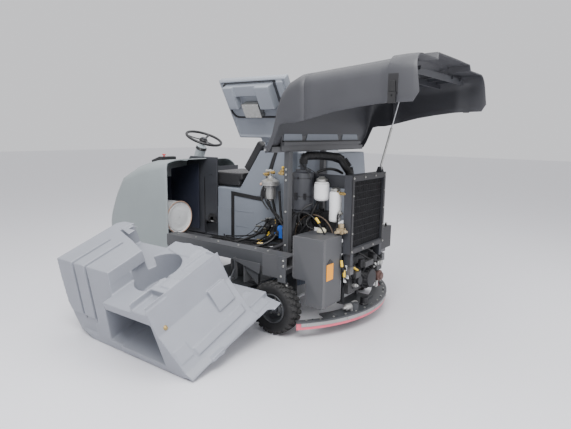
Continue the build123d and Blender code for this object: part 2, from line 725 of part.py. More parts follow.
with BuildPart() as strut_cylinder:
    with BuildSketch(STRUT.offset(15)):
        Circle(7)
    extrude(amount=12)
    with BuildSketch(STRUT.offset(24)):
        Circle(11)
    extrude(amount=312)
    with BuildSketch(STRUT.offset(30)):
        Circle(6)
    extrude(amount=310, mode=Mode.SUBTRACT)
    rod_y(STRUT_FOOT[0], STRUT_FOOT[1], 17, STRUT_Y - 7, STRUT_Y + 7)
    rod_y(STRUT_FOOT[0], STRUT_FOOT[1], 6.4, STRUT_Y - 7, STRUT_Y + 7, Mode.SUBTRACT)
save("strut_cylinder", strut_cylinder.part)

with BuildPart() as strut_rod:
    with BuildSketch(STRUT.offset(STRUT_RUN - 336)):
        Circle(5)
    extrude(amount=322)
    rod_y(STRUT_HEAD[0], STRUT_HEAD[1], 15, STRUT_Y - 6, STRUT_Y + 6)
    rod_y(STRUT_HEAD[0], STRUT_HEAD[1], 6.4, STRUT_Y - 6, STRUT_Y + 6, Mode.SUBTRACT)
save("strut_rod", strut_rod.part)

# ---------------------------------------------------------------- engine bay

with BuildPart() as engine_block:
    block(-150, 260, 35, 208, 522, 800)
    block(-120, 230, 55, 190, 800, 868)
    rod_y(CRANK_X, CRANK_Z, 90, 208, 212)
    rod_y(CRANK_X, CRANK_Z, 12, 212, 244)
    rod_y(FAN_X, FAN_Z, 30, 208, 214)
    rod_y(FAN_X, FAN_Z, 9, 214, 300)
    for x in (-60, 60):
        rod_z(x, 122, 17, 868, 890)
save("engine_block", engine_block.part)

with BuildPart() as engine_mounts:
    for x in (90, 240):
        for y in (60, 185):
            rod_z(x, y, 22, RAIL_LOW, 522)
save("engine_mounts", engine_mounts.part)

with BuildPart() as alternator:
    block(ALTERNATOR_X - 25, ALTERNATOR_X + 25, 90, 180, 868, 884)
    rod_y(ALTERNATOR_X, ALTERNATOR_Z, 50, 60, 206)
    rod_y(ALTERNATOR_X, ALTERNATOR_Z, 9, 206, 244)
save("alternator", alternator.part)

PULLEYS = ((CRANK_X, CRANK_Z, 62, 12.5), (FAN_X, FAN_Z, 44, 9.5), (ALTERNATOR_X, ALTERNATOR_Z, 34, 9.5))


def pulley(x, z, radius, bore):
    """Grooved belt pulley."""
    ring_y(x, z, radius, bore, BELT_IN, BELT_OUT)
    with BuildSketch(side(BELT_OUT - 7)) as groove:
        with Locations((x, z)):
            Circle(radius + 1)
            Circle(radius - 10, mode=Mode.SUBTRACT)
    extrude(groove.sketch, amount=BELT_OUT - BELT_IN - 14, mode=Mode.SUBTRACT)


with BuildPart() as crank_pulley:
    pulley(*PULLEYS[0])
save("crank_pulley", crank_pulley.part)

with BuildPart() as engine_fan:
    pulley(*PULLEYS[1])
    ring_y(FAN_X, FAN_Z, 34, 9.5, BELT_OUT, 292)
    for index in range(6):
        angle = radians(60 * index)
        blade = Plane(origin=spot((FAN_X + 30 * cos(angle), 272, FAN_Z + 30 * sin(angle))),
                      x_dir=(-sin(angle) * 0.86, 0.5, cos(angle) * 0.86),
                      z_dir=(cos(angle), 0, sin(angle)))
        with BuildSketch(blade):
            Rectangle(44, 3)
        extrude(amount=138)
save("engine_fan", engine_fan.part)

with BuildPart() as alternator_pulley:
    pulley(*PULLEYS[2])
save("alternator_pulley", alternator_pulley.part)

with BuildPart() as drive_belt:
    for reach, mode in ((-1, Mode.ADD), (-9.2, Mode.SUBTRACT)):
        with BuildSketch(side(BELT_OUT - 9)):
            for x, z, radius, bore in PULLEYS:
                with Locations((x, z)):
                    Circle(radius + reach)
            make_hull()
        extrude(amount=BELT_OUT - BELT_IN - 18, mode=mode)
save("drive_belt", drive_belt.part)

with BuildPart() as radiator_frame:
    block(-430, -365, -240, 315, 600, 1190)
    block(-440, -350, -200, 280, 645, 1145, Mode.SUBTRACT)
    for y in (-215, 275):
        block(-425, -370, y - 20, y + 20, RAIL_LOW, 600)
    # clevis of the gas strut
    for low, high in ((STRUT_Y - 20, STRUT_Y - 8), (STRUT_Y + 8, STRUT_Y + 20)):
        slab([(-425, 1190), (-375, 1190), (-388, 1230), (-412, 1230)], low, high)
    rod_y(STRUT_FOOT[0], STRUT_FOOT[1], 6, STRUT_Y - 20, STRUT_Y + 20)
    # bracket that carries the filters and the air cleaner
    block(-365, 5, 222, 228, 1080, 1180)
    block(-1, 5, -28, 228, 1080, 1180)
save("radiator_frame", radiator_frame.part)

with BuildPart() as radiator_core:
    block(-415, -378, -200, 280, 645, 1145)
save("radiator_core", radiator_core.part)

with BuildPart() as air_cleaner:
    rod_z(0, 318, 84, 900, 1190)
    rod_z(0, 318, 72, 878, 900)
    rod_z(0, 318, 60, 1190, 1215)
    rod_z(0, 318, 24, 1215, 1262)
    block(-30, 30, 228, 240, 1090, 1170)
save("air_cleaner", air_cleaner.part)

with BuildPart() as fuel_filters:
    rod_z(-160, 300, 58, 985, 1128)
    rod_z(-275, 285, 46, 830, 1065)
    block(-180, -140, 228, 250, 1085, 1115)
    block(-290, -260, 228, 250, 1030, 1062)
save("fuel_filters", fuel_filters.part)

with BuildPart() as gas_regulator:
    rod_z(385, 235, 74, 1055, 1092)
    rod_z(385, 235, 50, 935, 1055)
    rod_z(385, 235, 26, 1092, 1120)
    block(377, 393, 152, 165, 1040, 1100)
    rod_z(385, 235, 10, 1120, 1190)
    rod_x(235, 1175, 12, 345, 430)
save("gas_regulator", gas_regulator.part)

with BuildPart() as gas_valve:
    rod_z(235, 262, 13, 1150, 1206)
    rod_x(262, 1165, 11, 200, 275)
save("gas_valve", gas_valve.part)

with BuildPart() as gas_valve_handle:
    rod_z(235, 262, 14, 1207, 1222)
    block(175, 235, 252, 272, 1216, 1228)
save("gas_valve_handle", gas_valve_handle.part)

with BuildPart() as intake_hose:
    hose([(0, 318, 1262), (0, 318, 1315), (-95, 230, 1322), (-210, 130, 1308), (-275, 80, 1190),
          (-285, 60, 1060)], 62, 45)
save("intake_hose", intake_hose.part)

with BuildPart() as hydraulic_hoses:
    hose([(-300, 292, 560), (-300, 300, 660), (-280, 300, 760), (-340, 300, 820)], 20, 34)
    hose([(120, 300, 640), (40, 330, 560), (-60, 330, 530), (-60, 330, 450)], 22, 40)
    hose([(60, 330, 866), (70, 340, 760), (85, 400, 640), (300, 430, 530), (900, 420, 520)], 24, 50)
    hose([(20, 380, 866), (30, 395, 760), (62, 440, 640), (280, 480, 535), (980, 470, 520)], 24, 50)
save("hydraulic_hoses", hydraulic_hoses.part)

with BuildPart() as hydraulic_reservoir:
    slab([(-370, 240), (-215, 240), (-215, 425), (-106, 425), (-106, 750), (-370, 750)], 330, 590)
    rod_z(-230, 400, 28, 750, 762)
save("hydraulic_reservoir", hydraulic_reservoir.part)

with BuildPart() as reservoir_cap:
    rod_z(-230, 400, 33, 762.5, 785)
    rod_z(-230, 400, 26, 785, 792)
save("reservoir_cap", reservoir_cap.part)

with BuildPart() as battery:
    block(-360, -110, -570, -330, RAIL_LOW, 690)
    for y in (-520, -380):
        rod_z(-330, y, 9, 690, 708)
save("battery", battery.part)

with BuildPart() as rear_pump:
    block(-380, -345, -230, 230, 260, CROSS_LOW)
    rod_x(-30, 345, 88, -400, -380)
    rod_x(-30, 345, 70, -452, -400)
    rod_x(-185, 330, 46, -440, -380)
    rod_x(-185, 330, 30, -470, -440)
    rod_x(130, 360, 44, -430, -380)
    block(-345, -330, -60, 60, 300, 400)
save("rear_pump", rear_pump.part)

# ---------------------------------------------------------------- squeegee, raised

SQUEEGEE_LOW = 80
SQUEEGEE_TOP = 130


def arc_band(inner, outer, half_angle, z0, z1):
    """Curved band about the squeegee's centre, open towards the rear."""
    with BuildSketch(flat(z0)) as band:
        with BuildLine():
            far = CenterArc((ARC_X, 0), outer, 180 - half_angle, 2 * half_angle)
            near = CenterArc((ARC_X, 0), inner, 180 - half_angle, 2 * half_angle)
            Line(far @ 0, near @ 0)
            Line(far @ 1, near @ 1)
        make_face()
    extrude(band.sketch, amount=z1 - z0)


with BuildPart() as squeegee_frame:
    arc_band(ARC_R - 32, ARC_R + 12, 43.5, SQUEEGEE_TOP, SQUEEGEE_TOP + 12)
    arc_band(ARC_R - 120, ARC_R - 32, 30, SQUEEGEE_TOP, SQUEEGEE_TOP + 12)
    arc_band(ARC_R - 6, ARC_R, 43.5, SQUEEGEE_LOW + 22, SQUEEGEE_TOP)
    block(-400, -240, -160, 160, SQUEEGEE_TOP + 12, SQUEEGEE_TOP + 24)
    for y in (-120, 120):
        rod_z(-270, y, BORE_GUIDE - 1, SQUEEGEE_TOP + 24, 540)
    rod_z(-425, 205, 32, SQUEEGEE_TOP + 12, SQUEEGEE_TOP + 70)
    for angle in (-36, -24, -12, 0, 12, 24, 36):
        heading = radians(180 + angle)
        rod_z(ARC_X + (ARC_R - 16) * cos(heading), (ARC_R - 16) * sin(heading), 7,
              SQUEEGEE_TOP + 12, SQUEEGEE_TOP + 18)
save("squeegee_frame", squeegee_frame.part)

with BuildPart() as squeegee_blade:
    arc_band(ARC_R, ARC_R + 5, 43.5, SQUEEGEE_LOW, SQUEEGEE_TOP)
    arc_band(ARC_R - 24, ARC_R - 19, 43, SQUEEGEE_LOW, SQUEEGEE_TOP)
save("squeegee_blade", squeegee_blade.part)

# ---------------------------------------------------------------- scrub deck, raised

DECK_TOP = 262

with BuildPart() as scrub_deck:
    block(DECK_X - 285, DECK_X + 285, -660, 660, DECK_TOP - 14, DECK_TOP)
    for y in (-660, 650):
        block(DECK_X - 285, DECK_X + 285, y, y + 10, 100, DECK_TOP - 14)
    for y in (-BRUSH_Y, BRUSH_Y):
        rod_z(DECK_X, y, 62, DECK_TOP, 395)
    for y in (-450, 450):
        block(310, DECK_X - 200, y - 25, y + 25, DECK_TOP, DECK_TOP + 14)
        rod_z(330, y, BORE_GUIDE - 1, DECK_TOP + 14, RAIL_LOW)
save("scrub_deck", scrub_deck.part)

for name, y in (("brush_left", BRUSH_Y), ("brush_right", -BRUSH_Y)):
    with BuildPart() as brush:
        rod_z(DECK_X, y, BRUSH_R - 10, 140, 162)
        rod_z(DECK_X, y, 40, 162, 240)
        rod_z(DECK_X, y, BRUSH_R, 60, 140)
        rod_z(DECK_X, y, BRUSH_R - 90, 60, 140, Mode.SUBTRACT)
    save(name, brush.part)
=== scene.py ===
"""Looks of a ride-on floor scrubber opened for service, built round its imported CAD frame."""

import json
import math

import bmesh
import bpy
from mathutils import Matrix, Vector


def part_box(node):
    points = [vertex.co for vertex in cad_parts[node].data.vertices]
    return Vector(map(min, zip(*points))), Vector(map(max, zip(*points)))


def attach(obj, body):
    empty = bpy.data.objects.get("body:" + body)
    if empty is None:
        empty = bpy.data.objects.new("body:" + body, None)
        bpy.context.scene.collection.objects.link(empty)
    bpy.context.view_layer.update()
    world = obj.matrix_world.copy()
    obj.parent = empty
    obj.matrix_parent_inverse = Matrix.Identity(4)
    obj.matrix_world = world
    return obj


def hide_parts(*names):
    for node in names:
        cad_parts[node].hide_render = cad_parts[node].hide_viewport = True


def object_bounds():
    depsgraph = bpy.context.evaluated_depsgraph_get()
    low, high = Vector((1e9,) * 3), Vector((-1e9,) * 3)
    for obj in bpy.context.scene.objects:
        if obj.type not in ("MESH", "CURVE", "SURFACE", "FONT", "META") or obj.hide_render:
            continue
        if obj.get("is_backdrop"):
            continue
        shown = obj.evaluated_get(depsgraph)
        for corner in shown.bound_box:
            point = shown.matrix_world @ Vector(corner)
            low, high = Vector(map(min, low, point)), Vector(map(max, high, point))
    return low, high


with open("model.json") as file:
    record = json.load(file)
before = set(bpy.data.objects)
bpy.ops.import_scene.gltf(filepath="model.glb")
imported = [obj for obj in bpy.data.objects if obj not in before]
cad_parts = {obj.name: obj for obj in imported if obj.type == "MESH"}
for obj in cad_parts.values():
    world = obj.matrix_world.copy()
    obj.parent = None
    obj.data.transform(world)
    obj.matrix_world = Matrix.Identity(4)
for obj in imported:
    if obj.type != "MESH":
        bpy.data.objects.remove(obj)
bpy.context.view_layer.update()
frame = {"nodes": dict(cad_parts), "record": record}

axle_low, axle_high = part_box("rear_axle")
AXLE = (axle_low + axle_high) / 2


def M(x, y, z):
    """Point of the machine, in millimetres from rear axle, middle plane and floor, in the row frame."""
    return Vector((AXLE.x + x / 1000, AXLE.y + y / 1000, z / 1000))


def turned(y, z, degrees):
    """Matrix that turns the row about the hinge line along x through the machine's (y, z)."""
    hinge = Matrix.Translation(M(0, y, z))
    return hinge @ Matrix.Rotation(math.radians(degrees), 4, "X") @ hinge.inverted()


REST = Matrix.Identity(4)
TIPPED = turned(700, 360, -110)
LIFTED = turned(120, 1400, 60)
X, Y, Z = Vector((1, 0, 0)), Vector((0, 1, 0)), Vector((0, 0, 1))
# centres of the engine fan, of the side tank's scoop when closed, and of the canister's rim
FAN_X, FAN_Z = -100, 690
SCOOP_X, SCOOP_Z = 455, 930
PORT = (1356, 372, 690)
# centre and rim radius of the squeegee arc
ARC_X, ARC_R = 510, 1010

# ------------------------------------------------------------------ materials


def shader(name, color, rough=0.5, metal=0.0, tint=0.08, patch=5.0, grain=0.2, fine=700.0,
           stretch=(1, 1, 1), wear=None, coat=0.0, sheen=0.0, pattern=None, spread=0.07, depth=0.0006):
    """Procedural material: mottled colour, uneven gloss, fine grain and, if wanted, worn edges."""
    material = bpy.data.materials.new(name)
    material.use_nodes = True
    nodes, links = material.node_tree.nodes, material.node_tree.links
    shade = nodes["Principled BSDF"]
    shade.inputs["Metallic"].default_value = metal
    shade.inputs["Coat Weight"].default_value = coat
    shade.inputs["Coat Roughness"].default_value = 0.2
    shade.inputs["Sheen Weight"].default_value = sheen
    place = nodes.new("ShaderNodeTexCoord")
    mapping = nodes.new("ShaderNodeMapping")
    mapping.inputs["Scale"].default_value = stretch
    links.new(place.outputs["Object"], mapping.inputs["Vector"])
    broad = nodes.new("ShaderNodeTexNoise")
    broad.inputs["Scale"].default_value = patch
    broad.inputs["Detail"].default_value = 5
    links.new(mapping.outputs["Vector"], broad.inputs["Vector"])
    value = nodes.new("ShaderNodeMapRange")
    value.inputs["From Min"].default_value, value.inputs["From Max"].default_value = 0.3, 0.7
    value.inputs["To Min"].default_value, value.inputs["To Max"].default_value = 1 - tint, 1 + tint
    links.new(broad.outputs["Fac"], value.inputs["Value"])
    paint = nodes.new("ShaderNodeHueSaturation")
    paint.inputs["Color"].default_value = (*color, 1)
    links.new(value.outputs["Result"], paint.inputs["Value"])
    out = paint.outputs["Color"]
    if wear:
        edge = nodes.new("ShaderNodeNewGeometry")
        ramp = nodes.new("ShaderNodeMapRange")
        ramp.inputs["From Min"].default_value, ramp.inputs["From Max"].default_value = 0.53, 0.62
        links.new(edge.outputs["Pointiness"], ramp.inputs["Value"])
        blend = nodes.new("ShaderNodeMix")
        blend.data_type = "RGBA"
        blend.inputs["B"].default_value = (*wear, 1)
        links.new(ramp.outputs["Result"], blend.inputs["Factor"])
        links.new(out, blend.inputs["A"])
        out = blend.outputs["Result"]
    links.new(out, shade.inputs["Base Color"])
    gloss = nodes.new("ShaderNodeMapRange")
    gloss.inputs["To Min"].default_value = max(0.02, rough - spread)
    gloss.inputs["To Max"].default_value = min(1, rough + spread)
    links.new(broad.outputs["Fac"], gloss.inputs["Value"])
    links.new(gloss.outputs["Result"], shade.inputs["Roughness"])
    small = nodes.new("ShaderNodeTexNoise")
    small.inputs["Scale"].default_value = fine
    small.inputs["Detail"].default_value = 2
    links.new(mapping.outputs["Vector"], small.inputs["Vector"])
    bump = nodes.new("ShaderNodeBump")
    bump.inputs["Strength"].default_value = grain
    bump.inputs["Distance"].default_value = depth
    links.new(small.outputs["Fac"], bump.inputs["Height"])
    links.new(bump.outputs["Normal"], shade.inputs["Normal"])
    if pattern:
        relief = pattern(nodes, mapping)
        second = nodes.new("ShaderNodeBump")
        second.inputs["Strength"].default_value = 0.7
        second.inputs["Distance"].default_value = 0.002
        links.new(relief, second.inputs["Height"])
        links.new(second.outputs["Normal"], bump.inputs["Normal"])
    return material


def cells(scale):
    """Leather-like cells."""
    def build(nodes, mapping):
        crack = nodes.new("ShaderNodeTexVoronoi")
        crack.feature = "DISTANCE_TO_EDGE"
        crack.inputs["Scale"].default_value = scale
        nodes.id_data.links.new(mapping.outputs["Vector"], crack.inputs["Vector"])
        return crack.outputs["Distance"]
    return build


def bands(scale, direction):
    """Parallel fins or bristles."""
    def build(nodes, mapping):
        wave = nodes.new("ShaderNodeTexWave")
        wave.bands_direction = direction
        wave.inputs["Scale"].default_value = scale
        nodes.id_data.links.new(mapping.outputs["Vector"], wave.inputs["Vector"])
        return wave.outputs["Fac"]
    return build


MAT = {
    "tank": shader("tank_moulding", (0.262, 0.275, 0.312), 0.42, tint=0.04, grain=0.25, fine=420,
        wear=(0.37, 0.38, 0.42)),
    "nose": shader("nose_moulding", (0.245, 0.278, 0.284), 0.42, tint=0.03, grain=0.2, fine=500,
        wear=(0.33, 0.36, 0.37)),
    "panel": shader("grey_moulding", (0.185, 0.205, 0.24), 0.45, tint=0.05, grain=0.25, fine=450),
    "lid": shader("lid_moulding", (0.225, 0.245, 0.28), 0.42, tint=0.05, grain=0.2, fine=500),
    "hood": shader("hood_moulding", (0.040, 0.041, 0.047), 0.5, tint=0.08, grain=0.55, fine=260,
        wear=(0.085, 0.086, 0.095)),
    "dark": shader("dark_moulding", (0.035, 0.037, 0.044), 0.52, tint=0.1, grain=0.4, fine=350),
    "black": shader("black_moulding", (0.012, 0.012, 0.014), 0.42, tint=0.2, grain=0.3, fine=500),
    "frame": shader("frame_paint", (0.042, 0.045, 0.05), 0.42, tint=0.1, grain=0.12, fine=240,
        wear=(0.10, 0.10, 0.105)),
    "reservoir": shader("reservoir_paint", (0.058, 0.06, 0.066), 0.5, tint=0.07, grain=0.12, fine=260,
        wear=(0.14, 0.14, 0.145)),
    "column": shader("column_moulding", (0.36, 0.40, 0.42), 0.4, tint=0.04, grain=0.15),
    "tyre": shader("tyre_rubber", (0.012, 0.012, 0.013), 0.75, tint=0.3, patch=18, grain=0.6, fine=300,
        wear=(0.035, 0.034, 0.033)),
    "rubber": shader("hose_rubber", (0.009, 0.009, 0.010), 0.48, tint=0.2, patch=20, grain=0.25),
    "blade": shader("red_urethane", (0.72, 0.13, 0.19), 0.38, tint=0.08, patch=9, grain=0.1),
    "vinyl": shader("seat_vinyl", (0.012, 0.012, 0.014), 0.45, tint=0.15, grain=0.2, pattern=cells(340),
        sheen=0.1),
    "steel": shader("bright_steel", (0.56, 0.57, 0.58), 0.32, 1.0, tint=0.08, patch=14, grain=0.2, fine=300,
        stretch=(1, 1, 9)),
    "zinc": shader("zinc_plate", (0.42, 0.42, 0.40), 0.38, 0.9, tint=0.12, patch=40, grain=0.2),
    "alloy": shader("cast_alloy", (0.48, 0.48, 0.47), 0.5, 0.8, tint=0.08, patch=20, grain=0.6, fine=260),
    "cast": shader("cast_iron", (0.022, 0.022, 0.025), 0.5, 0.3, tint=0.25, patch=14, grain=0.9, fine=200,
        wear=(0.09, 0.09, 0.09)),
    "brass": shader("brass_metal", (0.55, 0.40, 0.16), 0.35, 0.9, tint=0.12, patch=30, grain=0.2),
    "tan": shader("tan_casting", (0.42, 0.34, 0.22), 0.5, 0.6, tint=0.12, patch=20, grain=0.4),
    "copper": shader("copper_ring", (0.60, 0.40, 0.30), 0.42, 0.35, tint=0.12, patch=12, grain=0.15),
    "white": shader("white_enamel", (0.78, 0.79, 0.80), 0.28, tint=0.03, patch=8, grain=0.08, coat=0.3),
    "cream": shader("cream_cap", (0.62, 0.58, 0.44), 0.45, tint=0.05, grain=0.2),
    "yellow": shader("yellow_tag", (0.78, 0.52, 0.05), 0.5, tint=0.08, grain=0.2),
    "amber": shader("amber_plate", (0.95, 0.36, 0.0), 0.45, tint=0.04, grain=0.1),
    "label": shader("blank_label", (0.80, 0.80, 0.82), 0.4, tint=0.03, grain=0.1),
    "blue": shader("blue_cap", (0.02, 0.10, 0.42), 0.4, tint=0.1, grain=0.15),
    "red": shader("red_button", (0.55, 0.02, 0.02), 0.32, tint=0.06, grain=0.1, coat=0.3),
    "rust": shader("brown_casting", (0.13, 0.075, 0.065), 0.55, 0.3, tint=0.2, patch=18, grain=0.5),
    "guard": shader("guard_ring", (0.16, 0.12, 0.09), 0.45, 0.5, tint=0.15, patch=30),
    # near-black sheet colour for the inside of the nose: painted shade of its hollow interior
    "navy": shader("nose_painted_shade", (0.018, 0.021, 0.036), 0.5, tint=0.12, grain=0.3),
    "fins": shader("cooler_fins", (0.010, 0.010, 0.012), 0.45, 0.4, tint=0.25, patch=25,
        pattern=bands(70, "Y"), grain=0.2),
    "bristle": shader("brush_bristle", (0.10, 0.12, 0.16), 0.75, tint=0.3, patch=60, grain=0.8, fine=900,
        stretch=(1, 1, 0.05)),
    "strip": shader("grey_strip", (0.30, 0.30, 0.30), 0.5, tint=0.06, grain=0.15),
}

# ------------------------------------------------------------------ building helpers


class Form:
    """Closed solids gathered into one mesh, laid out in machine millimetres."""

    def __init__(self, pose=REST):
        self.bm = bmesh.new()
        self.pose = pose

    def ring_faces(self, rings, cap=True):
        rows = [[self.bm.verts.new(p) for p in ring] for ring in rings]
        count = len(rows[0])
        for a, b in zip(rows, rows[1:]):
            for i in range(count):
                j = (i + 1) % count
                self.bm.faces.new((a[i], a[j], b[j], b[i]))
        if cap:
            self.bm.faces.new(rows[0][::-1])
            self.bm.faces.new(rows[-1])
        return self

    def prism(self, outline, low, high, axis="y"):
        """Outline of (x, z), (x, y) or (y, z) points, solid between two distances."""
        spot = {"y": lambda p, t: M(p[0], t, p[1]), "z": lambda p, t: M(p[0], p[1], t),
                "x": lambda p, t: M(t, p[0], p[1])}[axis]
        return self.ring_faces([[spot(p, low) for p in outline], [spot(p, high) for p in outline]])

    def box(self, x0, x1, y0, y1, z0, z1):
        return self.prism([(x0, y0), (x1, y0), (x1, y1), (x0, y1)], z0, z1, "z")

    def lathe(self, centre, axis, profile, steps=28):
        """Profile of (radius, distance along the axis) turned about the axis through the centre."""
        axis = Vector(axis).normalized()
        side = axis.orthogonal().normalized()
        other = axis.cross(side)
        start = M(*centre)
        rings = []
        for radius, along in profile:
            radius = max(radius, 0.05)
            rings.append([start + (axis * along + (side * math.cos(t) + other * math.sin(t)) * radius) / 1000
                          for t in (2 * math.pi * k / steps for k in range(steps))])
        return self.ring_faces(rings)

    def hoop(self, centre, axis, radius, thick, steps=48, sides=10):
        """Torus."""
        axis = Vector(axis).normalized()
        side = axis.orthogonal().normalized()
        other = axis.cross(side)
        start = M(*centre)
        rings = []
        for k in range(steps + 1):
            t = 2 * math.pi * k / steps
            out = side * math.cos(t) + other * math.sin(t)
            rings.append([start + (out * (radius + thick * math.cos(s)) + axis * thick * math.sin(s)) / 1000
                          for s in (2 * math.pi * q / sides for q in range(sides))])
        return self.ring_faces(rings, cap=False)

    def bolt(self, centre, axis, size=9):
        """Hexagon head on a washer."""
        self.lathe(centre, axis, [(size * 1.25, 0), (size * 1.25, 1.6)], 20)
        return self.lathe(centre, axis, [(size, 1.6), (size, size * 0.75), (size * 0.85, size * 0.9)], 6)

    def make(self, name, material, body, bevel=0.0, segments=2, angle=35, replaces=(), soft=0, slot=None):
        bmesh.ops.remove_doubles(self.bm, verts=self.bm.verts, dist=1e-6)
        bmesh.ops.recalc_face_normals(self.bm, faces=self.bm.faces)
        mesh = bpy.data.meshes.new(name)
        self.bm.to_mesh(mesh)
        self.bm.free()
        mesh.transform(self.pose)
        return finish_piece(name, mesh, material, body, bevel, segments, angle, replaces, soft)


def finish_piece(name, mesh, material, body, bevel=0.0, segments=2, angle=35, replaces=(), soft=0):
    """Links a mesh as a piece with its material, bevel, smoothing and body."""
    piece = bpy.data.objects.new(name, mesh)
    bpy.context.scene.collection.objects.link(piece)
    mesh.materials.clear()
    mesh.materials.append(MAT[material])
    mesh.shade_smooth()
    mesh.set_sharp_from_angle(angle=math.radians(angle))
    if bevel:
        round_edges = piece.modifiers.new("Bevel", "BEVEL")
        round_edges.width = bevel / 1000
        round_edges.segments = segments
        round_edges.limit_method = "ANGLE"
        round_edges.angle_limit = math.radians(angle)
        round_edges.harden_normals = True
    if soft:
        finer = piece.modifiers.new("Subdivision", "SUBSURF")
        finer.levels = finer.render_levels = soft
    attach(piece, body)
    if replaces:
        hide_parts(*replaces)
    return piece


def apply_modifiers(piece):
    """The piece keeps the shape that its modifiers give it."""
    graph = bpy.context.evaluated_depsgraph_get()
    shaped = bpy.data.meshes.new_from_object(piece.evaluated_get(graph))
    old = piece.data
    piece.modifiers.clear()
    piece.data = shaped
    bpy.data.meshes.remove(old)
    return piece


def cad_copy(node):
    """Mesh of a CAD node with its flat facets joined into faces."""
    mesh = frame["nodes"][node].data.copy()
    bm = bmesh.new()
    bm.from_mesh(mesh)
    bmesh.ops.remove_doubles(bm, verts=bm.verts, dist=1e-5)
    bmesh.ops.dissolve_limit(bm, angle_limit=math.radians(1.5), verts=bm.verts, edges=bm.edges)
    bm.to_mesh(mesh)
    bm.free()
    return mesh


NODE_BODY = {node: body for body, nodes in frame["record"]["behaviour"]["bodies"].items() for node in nodes}


def eased(node, material, bevel, segments=2, angle=35):
    """The CAD node with its edges broken, as sheet metal and castings have them."""
    return finish_piece(node + "_eased", cad_copy(node), material, NODE_BODY[node], bevel, segments, angle,
                        (node,), 0)


def moulded(node, material, voxel, rounds, adds=None, cuts=None):
    """The CAD node as a soft-edged moulding, with added and cut-away forms."""
    mesh = cad_copy(node)
    bm = bmesh.new()
    bm.from_mesh(mesh)
    if adds:
        extra = bpy.data.meshes.new("extra")
        bmesh.ops.recalc_face_normals(adds.bm, faces=adds.bm.faces)
        adds.bm.to_mesh(extra)
        adds.bm.free()
        extra.transform(adds.pose)
        bm.from_mesh(extra)
        bpy.data.meshes.remove(extra)
    bm.to_mesh(mesh)
    bm.free()
    piece = bpy.data.objects.new(node + "_moulded", mesh)
    bpy.context.scene.collection.objects.link(piece)
    helper = None
    if cuts:
        tool = bpy.data.meshes.new("tool")
        bmesh.ops.recalc_face_normals(cuts.bm, faces=cuts.bm.faces)
        cuts.bm.to_mesh(tool)
        cuts.bm.free()
        tool.transform(cuts.pose)
        helper = bpy.data.objects.new("tool", tool)
        bpy.context.scene.collection.objects.link(helper)
        carve = piece.modifiers.new("Carve", "BOOLEAN")
        carve.operation = "DIFFERENCE"
        carve.solver = "EXACT"
        carve.use_self = True
        carve.object = helper
    remesh = piece.modifiers.new("Remesh", "REMESH")
    remesh.mode = "VOXEL"
    remesh.voxel_size = voxel / 1000
    ease = piece.modifiers.new("Ease", "SMOOTH")
    ease.factor = 0.5
    ease.iterations = rounds
    apply_modifiers(piece)
    if helper:
        bpy.data.objects.remove(helper)
    shaped = piece.data
    bpy.data.objects.remove(piece)
    return finish_piece(node + "_moulded", shaped, material, NODE_BODY[node], 0, 2, 180, (node,), 0)


def clear_of_movers(x, y, z, radius):
    """The point, in machine millimetres, kept out of the closed side tank and out of the fan."""
    in_channel = x > 310 and z > 1050
    in_scoop = math.hypot(x - SCOOP_X, z - SCOOP_Z) <= 140
    if z > 555 and 150 < x <= 610 and not in_channel and not in_scoop:
        y = min(y, 234 - radius)
    if z > 590 and x > 610:
        y = min(y, 146 - radius)
    if z > 600 and 80 < x <= 150:
        y = min(y, 226 + (150 - x) * 4 - radius)
    if math.hypot(x - FAN_X, z - FAN_Z) < 200 and 225 < y < 330 and x > -330:
        y = 316 + radius
    return x, y, z


def cables(name, runs, radius, material, body="machine", sides=3):
    """Hoses or wires through points of the machine, one smooth run each."""
    curve = bpy.data.curves.new(name, "CURVE")
    curve.dimensions = "3D"
    curve.bevel_depth = radius / 1000
    curve.bevel_resolution = sides
    curve.use_fill_caps = True
    for run in runs:
        spline = curve.splines.new("NURBS")
        spline.points.add(len(run) - 1)
        for point, place in zip(spline.points, run):
            point.co = (*M(*(clear_of_movers(*place, radius) if body == "machine" else place)), 1)
        spline.order_u = 4 if len(run) > 3 else len(run)
        spline.use_endpoint_u = True
        spline.resolution_u = 8
    piece = bpy.data.objects.new(name, curve)
    bpy.context.scene.collection.objects.link(piece)
    curve.materials.append(MAT[material])
    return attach(piece, body)


def repaint(node, material):
    """A CAD node that keeps its shape gets its detailed material."""
    slots = frame["nodes"][node].material_slots
    for slot in slots:
        slot.material = MAT[material]
    if not slots:
        frame["nodes"][node].data.materials.append(MAT[material])

# ------------------------------------------------------------------ side tank


pads = Form(TIPPED)
# ridges of the inner face, each a shallow raised plate
pads.prism([(300, 660), (440, 610), (560, 640), (560, 720), (430, 760), (300, 760)], 243, 256)
pads.prism([(915, 660), (1030, 645), (1055, 720), (915, 765)], 154.5, 164)
pads.box(160, 235, 243, 256, 990, 1090)
# steps of the sloping wall and its flange
pads.prism([(-60, 722), (150, 722), (150, 700), (40, 700), (-40, 712)], 660, 1290, "z")
pads.prism([(30, 560), (76, 560), (112, 420), (92, 412)], 700, 860, "z")
pads.prism([(-24, 660), (6, 610), (26, 622), (0, 668)], 690, 1160, "z")
pads.prism([(-6, 640), (40, 560), (56, 568), (12, 650)], 1180, 1285, "z")
pads.box(-88, -30, 704, 734, 1010, 1120)
grooves = Form(TIPPED)
# two grooves of the front block, over its edge and down its inner face
for x in (846, 996):
    grooves.prism([(140, 860), (184, 872), (184, 1164), (590, 1238), (590, 1290), (140, 1215)],
                  x, x + 30, "x")
# shallow squares pressed into the inner face and the top
grooves.box(870, 994, 140, 170, 660, 700)
grooves.prism([(560, 1250), (690, 1272), (690, 1310), (560, 1310)], 880, 1180, "x")
grooves.box(262, 292, 236, 262, 980, 1100)
grooves.box(-62, -34, 690, 700, 760, 900)
moulded("side_tank", "tank", 5.5, 3, adds=pads, cuts=grooves)

# ------------------------------------------------------------------ hood

